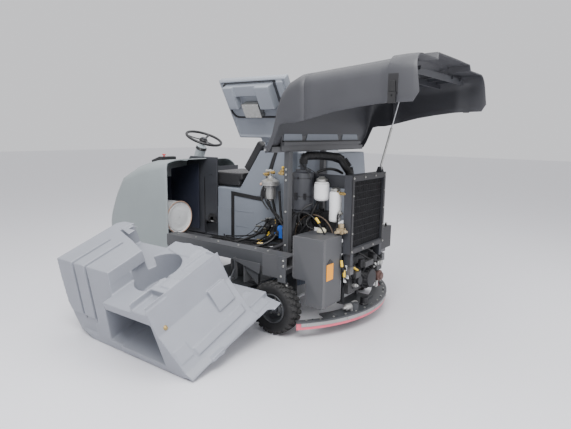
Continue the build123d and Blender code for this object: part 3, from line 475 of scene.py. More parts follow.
HOOD_PAIRS = [
    # lower edge (x, z), top line (x, z), shoulder radius, half width
    ((60, 1345), (80, 1388), 5, 714), ((22, 1366), (44, 1410), 12, 718), ((-8, 1418), (4, 1500), 34, 720),
    ((-40, 1490), (-13, 1600), 55, 720), ((-66, 1545), (-30, 1690), 74, 720),
    ((-115, 1556), (-58, 1775), 88, 720), ((-180, 1558), (-112, 1838), 96, 720),
    ((-232, 1567), (-205, 1882), 98, 720), ((-262, 1574), (-248, 1888), 98, 720),
    ((-266, 1575), (-253, 1888), 98, 716), ((-272, 1576), (-260, 1889), 98, 716),
    ((-276, 1577), (-265, 1889), 98, 720), ((-340, 1592), (-330, 1894), 98, 720),
    ((-491, 1628), (-480, 1908), 98, 720), ((-640, 1652), (-640, 1922), 98, 720),
    ((-792, 1671), (-800, 1937), 98, 720), ((-842, 1674), (-848, 1942), 98, 720),
    ((-850, 1675), (-858, 1956), 100, 727), ((-940, 1678), (-940, 1961), 100, 727),
    ((-1016, 1680), (-1004, 1962), 100, 727), ((-1050, 1735), (-1019, 1960), 96, 723),
]


def hood_section(low, top, radius, half):
    """Points of one U-shaped cross-section, from the left edge over the top to the right edge."""
    low, top = Vector(low), Vector(top)
    height = (top - low).length
    up = (top - low) / height
    lift = max(0.0, min(1.0, (-345 - top.x) / 490)) * 42
    wall = height - radius
    left = [(half, wall * k / 4) for k in range(4)]
    left += [(half - radius * (1 - math.cos(a)), wall + radius * math.sin(a))
             for a in (math.radians(15 * k) for k in range(7))]
    left += [(half - radius - (half - radius - 352) * k / 2, height) for k in (1, 2)]
    left += [(334, height + lift), (240, height + lift), (120, height + lift * 1.03)]
    points = left + [(0, height + lift * 1.04)] + [(-a, b) for a, b in reversed(left)]
    return [M(low.x + up.x * b, a, low.y + up.y * b) for a, b in points]


hood_form = Form()
rows = [[hood_form.bm.verts.new(p) for p in hood_section(*pair)] for pair in HOOD_PAIRS]
for first, second in zip(rows, rows[1:]):
    for i in range(len(first) - 1):
        hood_form.bm.faces.new((first[i], first[i + 1], second[i + 1], second[i]))
hood_piece = hood_form.make("hood_shell", "hood", "hood", angle=50, replaces=("hood",), slot="hood_plastic")
thick = hood_piece.modifiers.new("Wall", "SOLIDIFY")
thick.thickness = 0.009
thick.offset = -1
edge_round = hood_piece.modifiers.new("Edges", "BEVEL")
edge_round.width = 0.003
edge_round.segments = 2
edge_round.angle_limit = math.radians(50)

ribs = Form()
for x, z in ((-180, 1835), (-330, 1872), (-520, 1890), (-700, 1905), (-880, 1925)):
    ribs.box(x - 5, x + 5, -620, 620, z - 45, z)
for y in (-520, -330, 330, 520):
    ribs.prism([(-160, 1800), (-240, 1840), (-900, 1905), (-900, 1930), (-240, 1866), (-160, 1830)],
               y - 4, y + 4)
ribs.prism([(-545, 1900), (-575, 1900), (-574, 1842), (-560, 1832), (-546, 1842)], -186, -176)
ribs.make("hood_ribs", "dark", "hood", 2)
latch = Form()
for sign in (1, -1):
    y0, y1 = (729, 741) if sign > 0 else (-741, -729)
    latch.box(-917, -867, y0, y1, 1672, 1736)
    latch.prism([(-912, 1738), (-872, 1738), (-876, 1800), (-908, 1800)], y0 - sign, y1 - 5 * sign)
    latch.lathe((-892, y1 - sign, 1716), (0, sign, 0), [(9, -3), (9, 0), (5, 1)], 18)
latch.make("hood_latch_levers", "rubber", "hood", 2.5, replaces=("hood_latches",), slot="soft_rubber")
# flush black plates where the latch recesses sit: painted shade of the recesses, no pocket is cut
recess_shade = Form()
for sign in (1, -1):
    recess_shade.box(-924, -860, sign * 727 - 0.6, sign * 727 + 1.4, 1722, 1842)
recess_shade.make("hood_latch_shade_plates", "black", "hood", 1)

# ------------------------------------------------------------------ nose

NOSE = [(1215, 640, 1215, 1245), (1240, 640, 1210, 1243), (1380, 640, 1178, 1232), (1500, 640, 1152, 1222),
        (1620, 638, 1118, 1194), (1720, 635, 1078, 1165), (1800, 630, 1060, 1122), (1860, 622, 1040, 1085),
        (1920, 619, 962, 1020), (1980, 615, 880, 950), (2040, 604, 790, 846), (2100, 590, 700, 740),
        (2132, 578, 632, 664), (2144, 566, 590, 616)]


def nose_section(x, half, shoulder, top):
    """One cross-section of the nose, from the left lower edge over the top."""
    left = [(half, 300 + (shoulder - 40 - 300) * k / 5) for k in range(6)]
    left += [(half - 12, shoulder + 4), (half - 48, shoulder + (top - shoulder) * 0.48),
             (half - 100, shoulder + (top - shoulder) * 0.86), (half - 160, top), (half - 320, top + 1)]
    points = left + [(0, top + 1)] + [(-a, b) for a, b in reversed(left)]
    return [M(x, a, b) for a, b in points]


nose_form = Form()
rows = [[nose_form.bm.verts.new(p) for p in nose_section(*station)] for station in NOSE]
for first, second in zip(rows, rows[1:]):
    for i in range(len(first) - 1):
        nose_form.bm.faces.new((first[i], first[i + 1], second[i + 1], second[i]))
nose_form.bm.faces.new(rows[-1])
nose_piece = nose_form.make("nose_skin", "nose", "machine", angle=60, replaces=("nose_shell",),
    slot="shell_plastic")
wall = nose_piece.modifiers.new("Wall", "SOLIDIFY")
wall.thickness = 0.009
wall.offset = -1
door = Form()
door.box(1190, 1560, -720, 155, 200, 1330)
door_piece = door.make("doorway", "nose", "machine")
opening = nose_piece.modifiers.new("Doorway", "BOOLEAN")
opening.operation = "DIFFERENCE"
opening.solver = "EXACT"
opening.object = door_piece
apply_modifiers(nose_piece)
bpy.data.objects.remove(door_piece)
for polygon in nose_piece.data.polygons:
    polygon.use_smooth = True
nose_piece.data.set_sharp_from_angle(angle=math.radians(50))

# dark sheets inside the nose, behind and in front of the canister, coloured as painted shade of the hollow
# nose interior
shade_sheets = Form()
shade_sheets.prism([(1300, 560), (1690, 560), (1690, 1120), (1300, 1195)], 168, 176)
shade_sheets.prism([(-600, 480), (600, 480), (600, 1040), (-600, 1040)], 1700, 1706, "x")
shade_sheets.make("nose_shade_sheets", "navy", "machine", 2)

# ------------------------------------------------------------------ operator's place

column = Form()
LEAN = math.radians(22)
STEER = Vector((-math.sin(LEAN), 0, math.cos(LEAN)))
HUB = (1500, -100, 1420)
column.lathe(HUB, STEER, [(66, -560), (60, -420), (56, -380), (52, -200), (50, -84), (44, -80)], 32)
column.lathe(HUB, STEER, [(15, -82), (15, -36)], 20)
column.make("steering_column_cover", "column", "machine", 2, replaces=("steering_column",),
    slot="column_plastic")
boot = Form()
boot.lathe(HUB, STEER, [(54, -118), (58, -112), (52, -104), (56, -98), (50, -90), (46, -86)], 32)
boot.make("steering_boot", "black", "machine", 0.8)

wheel = Form()
wheel.hoop(HUB, STEER, 178, 13, 64, 14)
wheel.lathe(HUB, STEER, [(40, -34), (43, -26), (42, -12), (36, -4), (29, -3), (29, -8)], 36)
side_way = STEER.cross(Y).normalized()
for heading in (90, 210, 330):
    a = math.radians(heading)
    out = (Y * math.cos(a) + side_way * math.sin(a)).normalized()
    across = STEER.cross(out)
    middle = Vector(HUB)
    rings = []
    for reach, half, drop in ((30, 16, -14), (70, 12, -15), (120, 11, -9), (168, 16, -1)):
        spot = middle + out * reach + STEER * drop
        rings.append([M(*(spot + across * (half * math.cos(t)) + STEER * (5.5 * math.sin(t))))
                      for t in (2 * math.pi * k / 12 for k in range(12))])
    wheel.ring_faces(rings)
wheel.make("steering_wheel_rim", "black", "steering_wheel", 0, angle=40, replaces=("steering_wheel",),
    slot="black_plastic")

pod = Form()
for x, y, size in ((1640, 260, 9), (1640, 290, 9), (1640, 320, 9), (1680, 260, 7), (1680, 290, 7)):
    pod.lathe((x, y, 1236 - (x - 1600) * 0.33), (0.31, 0, 0.95), [(size, -4), (size, 3), (size * 0.8, 5)], 18)
pod.make("pod_switches", "dark", "machine", 0.5)
button = Form()
button.lathe((1582, 350, 1242), Z, [(7, 0), (7, 20), (17, 21), (18, 27), (15, 32)], 28)
button.make("emergency_stop_head", "red", "emergency_stop", 0.8, replaces=("emergency_stop",),
    slot="red_plastic")

seam = Form()
seam.prism([(1240, 525), (1250, 525), (1250, 1060), (1240, 1068)], 150.5, 153)
seam.prism([(1092, 640), (1240, 640), (1240, 650), (1092, 650)], 150.5, 152)
for x in (1150, 1175):
    seam.lathe((x, 151, 1090), Y, [(6, -0.5), (6, 1.2), (4.5, 1.6)], 16)
seam.make("footwell_panel_trim", "black", "machine", 0.6)
arch = Form()
arch.prism([(1092, 655), (1200, 655), (1196, 700), (1170, 722), (1110, 722), (1092, 700)], 151, 157)
arch.make("footwell_arch", "black", "machine", 1.2)
knob = Form()
knob.lathe((1148, 151, 672), Y, [(30, 0), (31, 2), (26, 5), (20, 6)], 30)
knob.make("footwell_knob", "alloy", "machine", 1)
for pedal, body in (("drive_pedal", "drive_pedal"), ("brake_pedal", "brake_pedal")):
    eased(pedal, "rubber", 2.5)
    low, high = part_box(pedal)
    tread = Form()
    y0, y1 = (low.y - AXLE.y) * 1000 + 6, (high.y - AXLE.y) * 1000 - 6
    for k in range(9):
        at, rise = 1600 + k * 15, (25 + k * 15) * 0.6249
        tread.prism([(at, 542.5 + rise), (at + 6, 546 + rise), (at + 4, 549 + rise), (at - 2, 546 + rise)],
            y0, y1)
    tread.make(pedal + "_tread", "black", body, 0.6)

# ------------------------------------------------------------------ seat


def cushion(node, name, panels):
    """The seat pad as stuffed vinyl: a shrunk copy swollen by a cloth simulation."""
    mesh = cad_copy(node)
    piece = bpy.data.objects.new(name, mesh)
    bpy.context.scene.collection.objects.link(piece)
    low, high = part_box(node)
    centre = (low + high) / 2
    for vertex in mesh.vertices:
        offset = vertex.co - centre
        vertex.co = centre + Vector((offset.x * 0.93, offset.y * 0.955, offset.z * 0.93))
    remesh = piece.modifiers.new("Remesh", "REMESH")
    remesh.mode = "VOXEL"
    remesh.voxel_size = 0.009
    apply_modifiers(piece)
    rest = [vertex.co.copy() for vertex in piece.data.vertices]
    outward = [vertex.normal.copy() for vertex in piece.data.vertices]
    pin = piece.vertex_groups.new(name="pin")
    held = [v.index for v in piece.data.vertices if v.co.z < low.z + 0.012]
    pin.add(held, 1.0, "REPLACE")
    cloth = piece.modifiers.new("Cloth", "CLOTH")
    cloth.settings.use_pressure = True
    cloth.settings.uniform_pressure_force = 4
    cloth.settings.effector_weights.gravity = 0
    cloth.settings.vertex_group_mass = "pin"
    cloth.settings.quality = 5
    for step in range(1, 19):
        bpy.context.scene.frame_set(step)
    apply_modifiers(piece)
    bpy.context.scene.frame_set(1)
    shaped = piece.data
    for vertex, start, normal in zip(shaped.vertices, rest, outward):
        swell = (vertex.co - start).dot(normal)
        vertex.co = start + normal * min(max(swell, 0.0), 0.012)
        vertex.co.x = min(max(vertex.co.x, low.x), high.x)
        vertex.co.y = min(max(vertex.co.y, low.y), high.y)
        vertex.co.z = min(max(vertex.co.z, low.z + 0.001), high.z)
    # sewn channels across the pad
    for vertex in shaped.vertices:
        for place in panels:
            gap = abs(vertex.co.y - (centre.y + place))
            if gap < 0.016:
                inward = (centre - vertex.co).normalized()
                vertex.co += inward * 0.006 * (1 - gap / 0.016) ** 2
    bpy.data.objects.remove(piece)
    pad = finish_piece(name, shaped, "vinyl", "seat", 0, 2, 180, (node,), 1)
    return pad


cushion("seat_cushion", "seat_cushion_pad", (-0.14, 0.14))
cushion("seat_back", "seat_back_pad", (-0.14, 0.14))

# ------------------------------------------------------------------ recovery tank, lid and bulkhead

moulded("recovery_tank", "panel", 7, 6)
panel_trim = Form()
for x0, x1, z0, z1 in ((905, 1070, 520, 800), (640, 895, 780, 786), (700, 890, 640, 646)):
    panel_trim.box(x0, x1, 150.5, 153, z0, z1)
panel_trim.prism([(560, 940), (590, 944), (455, 1290), (425, 1290)], 158.3, 160)
panel_trim.make("tank_side_ribs", "panel", "machine", 1)

adds = Form(LIFTED)
adds.box(120, 180, 560, 690, 1340, 1368)
adds.box(240, 290, 150, 200, 1372, 1384)
adds.box(330, 350, 150, 200, 1370, 1384)
adds.box(430, 450, 150, 200, 1370, 1384)
adds.box(100, 745, 200, 215, 1350, 1368)
adds.box(100, 745, 700, 715, 1350, 1368)
adds.box(92, 106, 200, 715, 1350, 1368)
adds.box(738, 752, 200, 715, 1350, 1368)
moulded("tank_lid", "lid", 5.5, 5, adds=adds)
lid_dark = Form(LIFTED)
lid_dark.box(114, 214, 480, 690, 1354, 1361.5)
lid_dark.box(122, 206, 250, 400, 1357, 1361.5)
lid_dark.make("lid_dark_inset", "dark", "tank_lid", 2)
rivets = Form(LIFTED)
for x in (402, 440, 510, 548):
    for y in (418, 522):
        rivets.lathe((x, y, 1306), (0, 0, -1), [(5, -1), (5, 1), (3, 2.5)], 14)
rivets.make("strainer_rivets", "steel", "tank_lid")

rivets = Form()
for left, right, count in ((585, 325, 2), (320, -250, 3), (-230, -590, 2)):
    for k in range(count):
        y = left + (right - left) * (k + 0.7) / (count + 0.4)
        rivets.lathe((2, y, 1518), (-1, 0, 0), [(6, -1), (6, 1.5), (3, 3.5)], 14)
rivets.make("bulkhead_rivets", "steel", "machine")
sill = Form()
sill.box(-10, 1.5, -585, 585, 1424.5, 1434)
sill.make("bulkhead_sill", "rubber", "machine", 1)

# ------------------------------------------------------------------ frame and running gear

for node, body in (("brush_left", "brush_left"), ("brush_right", "brush_right")):
    repaint(node, "bristle")


def tyre_piece(node, rim, body, sign):
    """Tyre with rounded shoulders and staggered lugs, and a dished rim with nuts."""
    low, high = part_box(node)
    inner, outer = (low.y - AXLE.y) * 1000, (high.y - AXLE.y) * 1000
    middle, half = (inner + outer) / 2, (outer - inner) / 2
    tread = Form()
    centre = (0, middle, 200)
    tread.lathe(centre, Y, [(113, -half + 12), (140, -half + 3), (168, -half), (180, -half + 6),
                            (189, -half + 22), (191, 0), (189, half - 22), (180, half - 6), (168, half),
                            (140, half - 3), (113, half - 12), (110, 0), (113, -half + 12)], 72)
    lugs = 24
    for k in range(lugs):
        for row in (-1, 1):
            t = 2 * math.pi * (k + (0.5 if row > 0 else 0)) / lugs
            for part, (y0, y1, shift) in enumerate(((4, half * 0.55, 0), (half * 0.5, half - 2, 0.07))):
                a = t + shift * row
                out, along = Vector((math.sin(a), 0, math.cos(a))), Vector((math.cos(a), 0, -math.sin(a)))
                base = Vector(centre)
                rings = []
                for radius, grow in ((176, 1.05), (199.2, 0.9)):
                    ring = []
                    for u, v in ((-1, 0), (1, 0), (1, 1), (-1, 1)):
                        lower = 5 if part and v == 1 else 0
                        spot = base + out * (radius - lower) + along * (u * 15 * grow)
                        ring.append(M(*(spot + Y * (row * (y0 if v == 0 else y1)))))
                    rings.append(ring)
                tread.ring_faces(rings)
    tread.make(node + "_tread", "tyre", body, 1.5, replaces=(node,), slot="tyre_rubber")
    disc = Form()
    face = middle + sign * 10
    disc.lathe((0, face, 200), (0, sign, 0), [(112, -half), (112, half - 18), (106, half - 14),
                                              (100, half - 22), (98, 6), (84, -6), (60, 2), (42, 14),
                                              (40, 34), (21, 36), (20.6, -40)], 48)
    disc.make(rim + "_dish", "frame", body, 1, replaces=(rim,), slot="frame_paint")
    nuts = Form()
    for k in range(5):
        a = math.radians(72 * k)
        nuts.bolt((62 * math.sin(a), face + sign * 2, 200 + 62 * math.cos(a)), (0, sign, 0), 8)
    nuts.make(rim + "_nuts", "zinc", body)


tyre_piece("rear_tyre_left", "rear_rim_left", "rear_wheel_left", 1)
tyre_piece("rear_tyre_right", "rear_rim_right", "rear_wheel_right", -1)

plates = Form()
# bracket plates between the left rail, the wheel arch and the reservoir
plates.prism([(-100, 405), (-30, 405), (-30, 600), (-100, 600)], 668.5, 676)
plates.prism([(-104, 300), (-36, 318), (-36, 402), (-104, 402)], 640, 648)
plates.prism([(150, 430), (420, 500), (420, 512), (140, 512)], 661, 668)
plates.prism([(180, 330), (300, 430), (300, 498), (180, 498)], 640, 647)
plates.prism([(306, 330), (320, 330), (320, 498), (306, 498)], 560, 655)
plates.make("side_brackets", "frame", "machine", 1.5)
heads = Form()
for x, y, z in ((-80, 676, 570), (-80, 676, 530), (-60, 676, 450), (-45, 648, 380), (-92, 648, 380)):
    heads.bolt((x, y, z), Y, 8)
for z in (640, 900, 1140, 1180, 1220):
    heads.bolt((32, 501, z), Y, 7)
for x in (120, 240, 420, 640, 900, 1120):
    heads.bolt((x, 600, 600), Z, 7)
heads.make("frame_bolts", "zinc", "machine")
flap = Form()
flap.box(-112, -100, 600, 640, 150, 240)
flap.box(-170, -108, 640, 646, 156, 236)
flap.make("flap_bracket_plate", "white", "machine", 1.2)
flap = Form()
flap.box(-100, -40, 628, 636, 150, 248)
flap.box(-170, -40, 596, 602, 140, 250)
flap.make("flap_bracket_dark", "frame", "machine", 1.2)

# ------------------------------------------------------------------ canister in the nose

can = Form()
can.lathe(PORT, X, [(150, 16), (149, 30), (150, 60), (150, 326), (120, 334)], 56)
can.lathe(PORT, X, [(134, 14), (134, 10), (141, 4), (149, 2), (154, 6), (154, 16), (148, 20), (136, 20)], 56)
can.make("canister_shell", "white", "machine", 1, replaces=("front_canister",), slot="white_paint")
collar = Form()
collar.hoop((1358, 372, 690), X, 150, 5.5, 64, 10)
collar.make("canister_collar", "copper", "machine")
cap = Form()
cap.lathe(PORT, X, [(132, 18), (132, 9), (126, 4), (118, 8), (90, 4), (50, 2), (5, 1.5)][::-1], 56)
cap.box(1357.5, 1364, 364, 380, 612, 768)
cap.make("canister_cap_face", "white", "canister_cap", 1, replaces=("canister_cap",), slot="white_paint")

# ------------------------------------------------------------------ engine bay

for node in ("crank_pulley", "alternator_pulley"):
    repaint(node, "cast")
engine = Form()
engine.box(-130, 250, 190, 212, 560, 575)
for x in range(-110, 251, 60):
    engine.box(x, x + 8, 208, 214, 600, 790)
for x in (-70, 20, 110, 200):
    engine.lathe((x, 195, 830), Y, [(26, -10), (26, 12), (18, 18), (18, 26)], 20)
engine.lathe((235, 200, 640), Y, [(48, 0), (48, 22), (38, 34), (20, 36)], 30)
engine.box(-60, 60, 212, 222, 760, 810)
for x in (-140, 60, 250):
    for z in (540, 700, 780):
        engine.bolt((x, 208, z), Y, 9)
engine.make("engine_fittings", "cast", "machine", 1.5)
plugs = Form()
for x, z in ((330, 720), (300, 660), (360, 640), (420, 700), (455, 650), (395, 610)):
    plugs.lathe((x, 158, z), Y, [(24, 0), (24, 22), (16, 26), (16, 60), (22, 62), (22, 72)], 20)
    plugs.bolt((x, 232, z), Y, 12)
plugs.box(290, 480, 158, 182, 560, 760)
plugs.make("valve_bank", "cast", "machine", 1.5)
shiny = Form()
for x, y, z, size in ((350, 196, 700, 15), (440, 192, 672, 13), (310, 196, 630, 12), (470, 190, 735, 10),
                      (180, 198, 705, 15), (80, 240, 760, 12), (500, 194, 620, 12), (530, 192, 680, 14),
                      (560, 188, 630, 11), (410, 194, 760, 12), (370, 194, 620, 13)):
    shiny.lathe((x, y, z), (0.3, 1, 0.2), [(size, 0), (size, 16), (size * 0.7, 18), (size * 0.7, 34)], 6)
    shiny.lathe((x, y, z), (0.3, 1, 0.2), [(size * 0.5, 30), (size * 0.5, 46)], 16)
shiny.make("hose_ends", "zinc", "machine", 0.6)
brassy = Form()
for x, y, z, way in ((420, 240, 1140, (1, 0.2, 0.3)), (400, 262, 1150, (0, 1, 0)),
    (355, 250, 1165, (-1, 0.3, 0)),
                     (250, 262, 1166, (0, 0, 1)), (330, 222, 745, (0, 0, 1)), (430, 300, 560, (1, 0.5, 0)),
                     (-345, 305, 1052, (-1, 0.2, 0)), (-318, 300, 1052, (1, 0, 0)),
                         (245, 222, 700, (1, 0, 0.2))):
    brassy.lathe((x, y, z), way, [(12, -16), (12, 0), (9, 1), (9, 10), (14, 11), (14, 24), (7, 25), (7, 34)],
        12)
brassy.make("brass_fittings", "brass", "machine", 0.6)
blue = Form()
blue.lathe((300, 198, 690), (0.1, 1, 0.1), [(24, 0), (27, 10), (24, 28), (14, 34)], 24)
blue.box(256, 292, 200, 236, 615, 725)
blue.lathe((340, 190, 640), (0, 1, 0), [(18, 0), (18, 34), (12, 40)], 20)
blue.make("blue_caps", "blue", "machine", 2)

regulator = Form()
regulator.lathe((385, 235, 935), Z, [(20, -12), (22, 0), (44, 8), (49, 40), (50, 108), (56, 118), (74, 121),
    (74, 134),
                                     (70, 136), (74, 138), (74, 156), (66, 160), (40, 176), (26, 184),
                                         (24, 200)], 48)
for k in range(8):
    a = 2 * math.pi * k / 8
    regulator.bolt((385 + 66 * math.cos(a), 235 + 66 * math.sin(a), 1090), Z, 6)
regulator.box(377, 393, 152, 165, 1040, 1100)
regulator.lathe((385, 235, 1120), Z, [(9, -3), (9, 70)], 20)
regulator.lathe((345, 235, 1175), X, [(11, 0), (11, 85)], 20)
regulator.make("regulator_body", "alloy", "machine", 1.2, replaces=("gas_regulator",), slot="light_alloy")
tip = Form()
tip.lathe((448, 262, 1062), (0.6, 1, 0), [(10, -6), (12, 6), (12, 18), (8, 22)], 20)
tip.make("regulator_tip", "copper", "machine", 0.8)
valve = Form()
valve.lathe((235, 262, 1150), Z, [(9, 0), (13, 8), (13, 30), (17, 34), (17, 46), (11, 50), (11, 56)], 20)
valve.lathe((200, 262, 1165), X, [(13, 0), (13, 18), (9, 20), (9, 54), (13, 56), (13, 75)], 6)
valve.make("gas_valve_body", "brass", "machine", 0.6, replaces=("gas_valve",), slot="brass_metal")
handle = Form()
handle.lathe((235, 262, 1207), Z, [(13, 0), (13, 12), (9, 15)], 20)
handle.prism([(240, 249), (240, 275), (190, 277), (176, 272), (176, 252), (190, 247)], 1216, 1222, "z")
handle.prism([(176, 1222), (176, 1208), (181, 1208), (186, 1217), (240, 1217), (240, 1222)], 252, 272)
handle.make("gas_valve_lever", "yellow", "gas_valve_handle", 1.5, replaces=("gas_valve_handle",),
    slot="yellow_paint")

cleaner = Form()
cleaner.lathe((0, 318, 878), Z, [(60, 0), (70, 4), (72, 20), (78, 24), (83, 30), (84, 120), (81, 124),
    (81, 130), (84, 134),
                                 (84, 300), (80, 310), (66, 318), (60, 322), (60, 336), (28, 340), (24, 344),
                                     (24, 384)], 56)
cleaner.box(-30, 30, 228, 240, 1090, 1170)
for k in range(5):
    cleaner.hoop((0, 318, 1240 + k * 6), Z, 25, 2.5, 32, 8)
cleaner.make("air_cleaner_body", "dark", "machine", 1, replaces=("air_cleaner",), slot="dark_plastic")
band = Form()
for z in (1012, 1150):
    band.hoop((0, 318, z), Z, 84.5, 2.2, 56, 8)
band.box(-6, 18, 398, 410, 985, 1040)
band.box(-70, -50, 372, 388, 990, 1035)
band.lathe((-10, 402, 1152), Y, [(8, -6), (8, 8)], 12)
band.make("air_cleaner_clips", "black", "machine", 0.8)

filters = Form()
filters.lathe((-160, 300, 985), Z, [(36, -2), (50, 4), (57, 14), (58, 30), (58, 118), (57, 128), (50, 140),
    (38, 143)], 44)
filters.lathe((-275, 285, 830), Z, [(20, -2), (38, 3), (45, 12), (46, 24), (46, 212), (44, 224), (36, 232),
    (20, 235)], 44)
filters.box(-180, -140, 228, 250, 1085, 1115)
filters.box(-290, -260, 228, 250, 1030, 1062)
filters.make("filter_cans", "white", "machine", 1, replaces=("fuel_filters",), slot="white_paint")
seam = Form()
seam.hoop((-160, 300, 1116), Z, 58, 1.8, 44, 8)
seam.lathe((-160, 300, 1128), Z, [(40, 0), (44, 6), (44, 20), (30, 26), (20, 40)], 20)
seam.lathe((-275, 285, 1065), Z, [(32, 0), (38, 4), (38, 18), (24, 24)], 8)
seam.lathe((-318, 305, 905), (-1, 0.3, 0), [(14, 0), (17, 4), (17, 22), (10, 26), (10, 40)], 20)
seam.make("filter_heads", "zinc", "machine", 0.8)

guard = Form()
guard.hoop((FAN_X, 300, FAN_Z), Y, 176, 5, 72, 8)
guard.hoop((FAN_X, 302, FAN_Z), Y, 60, 3, 40, 6)
guard.make("fan_guard_ring", "guard", "machine")
spokes = Form()
for k in range(5):
    a = math.radians(18 + 72 * k)
    across = Vector((math.cos(a), 0, -math.sin(a)))
    out = Vector((math.sin(a), 0, math.cos(a)))
    ring = []
    for reach, half in ((30, 14), (172, 9)):
        spot = Vector((FAN_X, 304, FAN_Z)) + out * reach
        ring.append([M(*(spot + across * u * half + Y * v * 2.5))
                     for u, v in ((-1, -1), (1, -1), (1, 1), (-1, 1))])
    spokes.ring_faces(ring)
spokes.lathe((FAN_X, 300, FAN_Z), Y, [(34, 0), (34, 8), (26, 12)], 28)
spokes.make("fan_guard_spokes", "black", "machine", 1)
tags = Form()
tags.box(-148, -108, 308, 311, 742, 772)
tags.box(-122, -72, 308, 310.5, 640, 652)
tags.make("blank_labels", "label", "machine", 0.4)

# radiator
rim_plate = Form()
for y0, y1, z0, z1 in ((-240, 315, 1150, 1190), (-240, 315, 600, 640), (-240, -206, 640, 1150),
    (286, 315, 640, 1150)):
    rim_plate.box(-436, -430.5, y0, y1, z0, z1)
rim_plate.make("radiator_rim", "black", "machine", 3, 3)
mesh_bars = Form()
for k in range(24):
    y = -190 + k * 20
    mesh_bars.box(-420, -416, y, y + 2.2, 646, 1144)
for k in range(9):
    z = 690 + k * 52
    mesh_bars.box(-421.5, -419.5, -199, 279, z, z + 2)
mesh_bars.make("radiator_bars", "black", "machine")
screws = Form()
for y in (-225, -50, 125, 300):
    for z in (620, 1170):
        screws.bolt((-436, y, z), (-1, 0, 0), 7)
for z in (760, 900, 1040):
    for y in (-222, 300):
        screws.bolt((-436, y, z), (-1, 0, 0), 6)
screws.make("radiator_bolts", "zinc", "machine")

# intake hose with its rings
INTAKE = [(0, 318, 1262), (0, 318, 1300), (-20, 300, 1320), (-95, 230, 1322), (-170, 165, 1313),
    (-235, 110, 1285),
          (-268, 85, 1225), (-278, 75, 1160), (-285, 60, 1060)]
rings = Form()
for (a, b) in zip(INTAKE, INTAKE[1:]):
    a, b = Vector(a), Vector(b)
    count = max(2, int((b - a).length / 11))
    for k in range(count):
        spot = a + (b - a) * k / count
        rings.hoop(tuple(spot), b - a, 31, 4, 20, 6)
rings.make("intake_rings", "rubber", "machine")

# hoses and wires
cables("thick_hoses", [
    [(400, 250, 950), (380, 262, 880), (330, 330, 800), (240, 300, 700), (160, 330, 620), (60, 420, 545)],
    [(300, 258, 1010), (290, 262, 860), (270, 290, 740), (235, 380, 600), (110, 440, 535)],
    [(340, 262, 940), (335, 262, 820), (310, 280, 700), (330, 330, 590), (420, 380, 530), (700, 400, 516)],
    [(60, 300, 560), (180, 420, 530), (330, 440, 524), (520, 430, 522), (760, 450, 518)],
    [(420, 258, 760), (460, 300, 640), (560, 360, 560), (820, 380, 520)],
    [(-120, 240, 1020), (-90, 300, 900), (-60, 330, 800), (20, 300, 700)],
    [(-200, 60, 1180), (-180, 140, 1220), (-150, 200, 1235), (-80, 240, 1190)],
    [(180, 260, 545), (330, 250, 520), (520, 240, 516), (760, 250, 520), (980, 300, 515), (1090, 330, 515)],
    [(200, 330, 540), (380, 310, 516), (600, 300, 515), (820, 310, 518), (1040, 380, 516)],
    [(220, 210, 560), (400, 200, 530), (620, 200, 518), (860, 210, 518), (1060, 240, 518)],
    [(240, 370, 530), (420, 350, 514), (640, 350, 514), (860, 360, 516), (1060, 430, 520)],
    [(260, 180, 620), (420, 175, 560), (640, 172, 530), (880, 180, 524), (1080, 190, 520)],
], 11, "rubber")
cables("thin_hoses", [
    [(360, 262, 1090), (420, 290, 1010), (400, 300, 900), (330, 300, 830), (250, 270, 760)],
    [(425, 262, 1055), (455, 300, 1000), (440, 300, 920), (360, 290, 860)],
    [(200, 262, 1165), (170, 280, 1120), (160, 300, 1000), (150, 290, 850), (130, 270, 720)],
    [(110, 300, 860), (100, 300, 760), (120, 320, 660), (170, 360, 560)],
    [(560, 250, 545), (480, 300, 575), (420, 300, 620), (360, 262, 690), (335, 262, 745)],
    [(900, 300, 545), (760, 330, 545), (620, 350, 550), (500, 380, 548), (300, 420, 540)],
    [(880, 250, 560), (700, 260, 575), (560, 250, 600), (450, 250, 640)],
    [(930, 220, 560), (820, 330, 530), (640, 420, 520), (500, 440, 520)],
    [(-60, 420, 800), (-20, 440, 860), (-60, 430, 930), (-120, 370, 960)],
    [(-330, 310, 920), (-300, 330, 880), (-330, 330, 820), (-345, 320, 700)],
], 6.5, "rubber")
cables("wires", [
    [(200, 300, 560), (330, 330, 534), (520, 280, 536), (700, 330, 534), (900, 300, 536)],
    [(210, 240, 570), (360, 280, 538), (560, 330, 534), (760, 270, 536), (960, 340, 534)],
    [(320, 220, 700), (380, 226, 660), (360, 222, 620), (420, 226, 590), (480, 250, 560)],
    [(380, 222, 740), (440, 228, 700), (500, 224, 690), (540, 228, 640), (560, 250, 580)],
    [(300, 224, 760), (360, 228, 780), (430, 226, 760), (500, 226, 720), (540, 228, 700)],
    [(20, 330, 1262), (-50, 380, 1240), (-95, 360, 1180), (-90, 350, 1140)],
    [(60, 300, 1230), (-20, 360, 1255), (-110, 320, 1210), (-150, 300, 1150)],
    [(-345, 320, 900), (-330, 350, 860), (-330, 360, 800), (-335, 345, 700), (-350, 330, 560)],
    [(-190, 430, 785), (-130, 470, 790), (-100, 460, 840), (-140, 400, 880)],
    [(480, 250, 700), (520, 290, 640), (600, 300, 580), (680, 290, 555)],
    [(540, 240, 700), (560, 280, 620), (640, 310, 570), (800, 330, 545)],
    [(-200, 250, 620), (-150, 300, 560), (-90, 330, 520), (-60, 360, 480)],
], 3, "rubber", sides=2)
cables("guard_hose", [
    [(60, 430, 640), (68, 430, 760), (20, 430, 880), (-90, 430, 912), (-190, 430, 870), (-255, 430, 790),
        (-300, 410, 700)],
], 5.5, "rubber")
